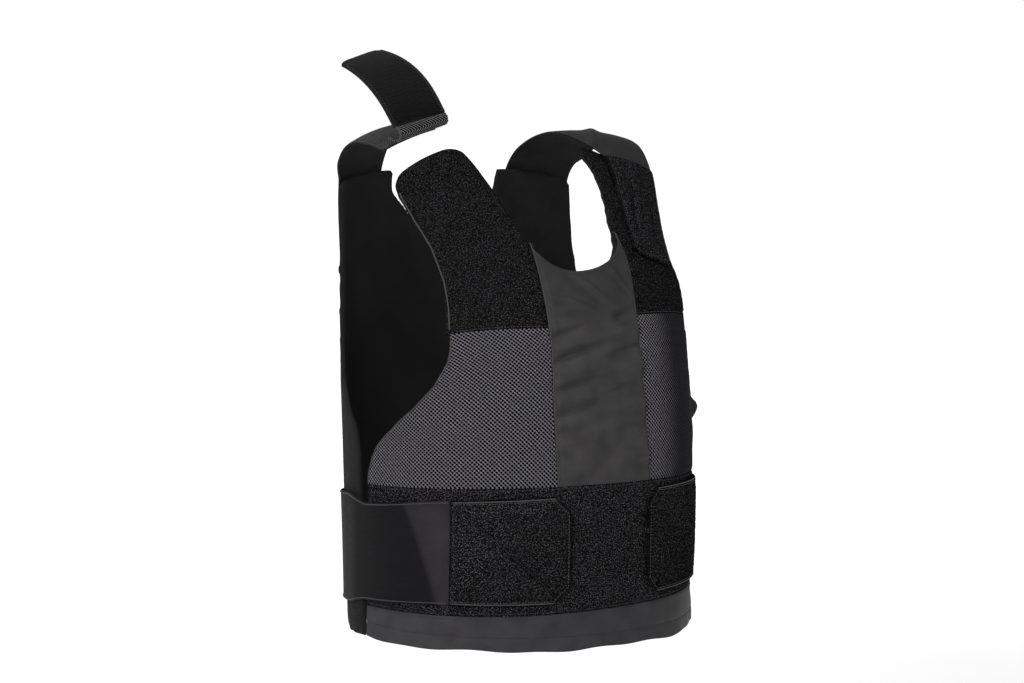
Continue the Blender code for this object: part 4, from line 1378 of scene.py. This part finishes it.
# Painted shade: the tab darkens along its creases, in its border groove and in a shadow line round its
# edges.
dark = folds_of(u, t, SHOULDER_TAB_CREASES) + 0.25 * border + 0.8 * groove(edge, 0.0016)
shoulder_tab = sewn_cloth("shoulder_tab_cloth", u, t, lift, height, np.clip(dark, 0, 1))
tab_rows = through(SHOULDER_TAB_LEFT, np.linspace(0.05, len(SHOULDER_TAB_LEFT) - 1.12, 80))
slant = SHOULDER_TAB_SLANT * (1 - smooth(0.382, 0.420, tab_rows[:, 0]))
outer_u = tab_rows[:, 1] * 0.025 + tab_rows[:, 2] * 0.975
inner_u = tab_rows[:, 1] * 0.95 + tab_rows[:, 2] * 0.05
outer_line = on_cloth(shoulder_tab, outer_u, tab_rows[:, 0] - 0.475 * slant)
inner_line = on_cloth(shoulder_tab, inner_u, tab_rows[:, 0] + 0.45 * slant)
end_u, end_t = pathway((0.0760, 0.3810), (0.1250, 0.3750))
end_line = on_cloth(shoulder_tab, end_u, end_t)
shoulder_tab_trims = (
    cord("shoulder_tab_edge", [outer_line], edge_piping, 0.0006),
    stitches("shoulder_tab_stitches", [inner_line, end_line], black_thread),
)
dressed(
    shoulder_tab, tab_pile, ["shoulder_tab_left"],
)


# Raised tongue of the right strap. Its hook tape is pulled open and curls up and outwards; fine
# ribs cross it, and both edges are bound with pale stitches.
# Control points of its outer and inner edge from root to tip: outer x, y, z and inner x, y, z.
TONGUE_CONTROLS = np.array([
    (-0.126, 0.019, 0.013, -0.059, 0.034, 0.028),
    (-0.119, 0.038, 0.017, -0.064, 0.039, 0.042),
    (-0.148, 0.015, 0.056, -0.080, 0.040, 0.079),
    (-0.164, 0.057, 0.073, -0.104, 0.082, 0.087),
])
TONGUE_THICKNESS = 0.0022
TONGUE_LENGTH = 0.091
TONGUE_WIDTH = 0.068
TONGUE_CORNER = 0.03
RIB_PITCH = 0.0035
RIB_SKEW = 0.0070
RIB_RISE = 0.00045
HOOK_ROUGH = 0.00010


def tongue_point(a, b):
    """Point of the tongue, a from 0 at its root to 1 at its tip, b from 0 outer to 1 inner: a
    Bezier curve along each edge and a straight line between them."""
    a, b = a[..., None], b[..., None]
    weights = ((1 - a) ** 3, 3 * a * (1 - a) ** 2, 3 * a**2 * (1 - a), a**3)
    edges = sum(w * row for w, row in zip(weights, TONGUE_CONTROLS))
    return edges[..., :3] * (1 - b) + edges[..., 3:] * b


def hook_tape():
    """Hook tape: rows of tiny hooks as crossed sines with noise, black with grey tips."""
    made = fabric("hook_tape", (0.01, 0.01, 0.0105), 0.60, 0.05)
    place, u, t = pattern_of(made)
    rows_of_hooks = sums(made, "SINE", sums(made, "MULTIPLY", t, 2 * np.pi / 0.0013))
    columns_of_hooks = sums(made, "SINE", sums(made, "MULTIPLY", u, 2 * np.pi / 0.0013))
    hooks = sums(made, "MULTIPLY", rows_of_hooks, columns_of_hooks)
    fibre = grain(made, place, 1200.0, 2.0)
    tips = spread(made, sums(made, "ADD", hooks, sums(made, "MULTIPLY", fibre, 1.2)), 0.2, 1.3)
    colour = blended(made, tips, (0.0015, 0.0015, 0.0015), (0.0150, 0.0147, 0.0153))
    finish_fabric(made, colour, sums(made, "ADD", hooks, fibre), 0.0005)
    return made


hook_cloth = hook_tape()
b = np.linspace(0, 1, 60)[None, :]
corner = np.abs(2 * b - 1) ** 6
a = np.linspace(0.0, 1.0, 120)[:, None] * (1 - TONGUE_CORNER * corner)
b = np.broadcast_to(b, a.shape)
step = 1e-3
across = tongue_point(a, b + step) - tongue_point(a, b - step)
along = tongue_point(a + step, b) - tongue_point(a - step, b)
normal = unit(np.cross(across, along))
inner_field = smooth(0.045, 0.085, np.minimum(b, 1 - b))
rib_phase = a * TONGUE_LENGTH + RIB_SKEW * b * smooth(0.0, 0.45, a)
ribs = RIB_RISE * np.sin(2 * np.pi * rib_phase / RIB_PITCH) * (1 - smooth(0.35, 0.85, a)) * inner_field
nap = HOOK_ROUGH * pile_dice.uniform(-1, 1, a.shape) * inner_field
bound = (1 - inner_field) * smooth(0.0, 0.02, np.minimum(b, 1 - b))
height = TONGUE_THICKNESS + ribs + nap - 0.0004 * bound
lower = tongue_point(a, b)
tongue = cloth_piece(
    "tongue_cloth",
    lower,
    lower + height[..., None] * normal,
    np.stack([b * TONGUE_WIDTH, a * TONGUE_LENGTH], axis=-1),
)


def on_tongue(a, b):
    """Points on the tongue's face at a and b, and the face's normals there."""
    a, b = (np.array(x, float) for x in np.broadcast_arrays(a, b))
    step = 1e-3
    across = tongue_point(a, b + step) - tongue_point(a, b - step)
    along = tongue_point(a + step, b) - tongue_point(a - step, b)
    out = unit(np.cross(across, along))
    return tongue_point(a, b) + (TONGUE_THICKNESS - 0.0003) * out, out


border_a = np.linspace(0.02, 0.955, 120)
tongue_rows = [on_tongue(border_a, 0.048), on_tongue(border_a, 0.952)]
tongue_rows.append(on_tongue(0.955, np.linspace(0.05, 0.95, 80)))
rim_a = np.linspace(0.01, 0.965, 120)
rim_lines = [on_tongue(rim_a, 0.010), on_tongue(rim_a, 0.990)]
tongue_trims = (
    stitches("tongue_stitches", tongue_rows, edge_piping, radius=0.00038),
    cord("tongue_rim", rim_lines, black_cord, 0.0009, raised=-0.6),
)
dressed(
    tongue, hook_cloth, ["shoulder_tongue_right"],
)


# Folded end of the right strap. The strap turns forwards and down from the tongue's root and back
# over itself; its outside is bound in a bold herringbone tape.
FOLD_HEIGHT_OUTER = 0.0150
FOLD_HEIGHT_INNER = 0.0133
FOLD_THICKNESS = 0.0018
FOLD_TAIL = 0.009
FOLD_TUCK = 0.0006
FOLD_SLOPE = 0.30
FOLD_START = 112
FOLD_MIDDLE = 0.0088
CHEVRON_PITCH = 0.0037
CHEVRON_SLANT = 1.4
BRAID_RISE = 0.0004


def herringbone():
    """Herringbone tape: bands of pale cord that slant one way below the middle and the other way
    above it, a sine of u plus the distance from the middle."""
    made = fabric("herringbone", (0.03, 0.03, 0.03), 0.60, 0.05)
    place, u, t = pattern_of(made)
    off_middle = sums(made, "ABSOLUTE", sums(made, "SUBTRACT", t, FOLD_MIDDLE))
    phase = sums(made, "ADD", u, sums(made, "MULTIPLY", off_middle, CHEVRON_SLANT))
    bands = sums(made, "SINE", sums(made, "MULTIPLY", phase, 2 * np.pi / CHEVRON_PITCH))
    fibre = grain(made, place, 1500.0, 1.0)
    share = spread(made, sums(made, "ADD", bands, sums(made, "MULTIPLY", fibre, 0.5)), 0.0, 1.1)
    colour = blended(made, share, (0.0005, 0.0005, 0.0005), (0.075, 0.073, 0.074))
    finish_fabric(made, colour, share, 0.0006)
    return made


outer_root, inner_root = TONGUE_CONTROLS[0, :3], TONGUE_CONTROLS[0, 3:]
across = (inner_root - outer_root) / np.linalg.norm(inner_root - outer_root)
level = np.cross(across, (0, 0, 1))
level /= np.linalg.norm(level)
upward = np.cross(level, across)
upward *= np.sign(upward[2])
forward = level * np.cos(FOLD_SLOPE) - upward * np.sin(FOLD_SLOPE)
below = -level * np.sin(FOLD_SLOPE) - upward * np.cos(FOLD_SLOPE)
share = np.linspace(0.035, 1, 90)[None, :]
radius = (FOLD_HEIGHT_OUTER * (1 - share) + FOLD_HEIGHT_INNER * share) / 2 - FOLD_THICKNESS
angle = np.radians(np.linspace(FOLD_START, -90, 30))[:, None]
tail = np.linspace(0, FOLD_TAIL, 8)[1:, None] + 0 * share
ahead = np.vstack([radius * np.cos(angle), -tail])
down = np.vstack([radius * (1 - np.sin(angle)), 2 * radius + 0 * tail]) + FOLD_THICKNESS - FOLD_TUCK
root = outer_root + share[0][None, :, None] * (inner_root - outer_root)
lower = (root + ahead[..., None] * forward + down[..., None] * below)[::-1]
run = np.concatenate([[0], np.cumsum(np.linalg.norm(np.diff(lower[:, 45], axis=0), axis=1))])
side_step = np.gradient(lower, axis=1)
length_step = np.gradient(lower, axis=0)
normal = unit(np.cross(side_step, length_step))
pattern = np.stack(np.broadcast_arrays(share * TONGUE_WIDTH, (run[-1] - run)[:, None]), axis=-1)
off_middle = np.abs(pattern[..., 1] - FOLD_MIDDLE)
braid = BRAID_RISE * np.sin(2 * np.pi * (pattern[..., 0] + CHEVRON_SLANT * off_middle) / CHEVRON_PITCH)
upper = lower + (FOLD_THICKNESS - 0.0002 + braid)[..., None] * normal
fold = cloth_piece("fold_cloth", lower, upper, pattern)
side_line = (lower + 0.0014 * normal)[9:, 1]
fold_trims = (cord("fold_edge", [(side_line, normal[9:, 1])], edge_piping, 0.0014, raised=0.0),)
dressed(
    fold, herringbone(), ["tongue_fold_right"],
)
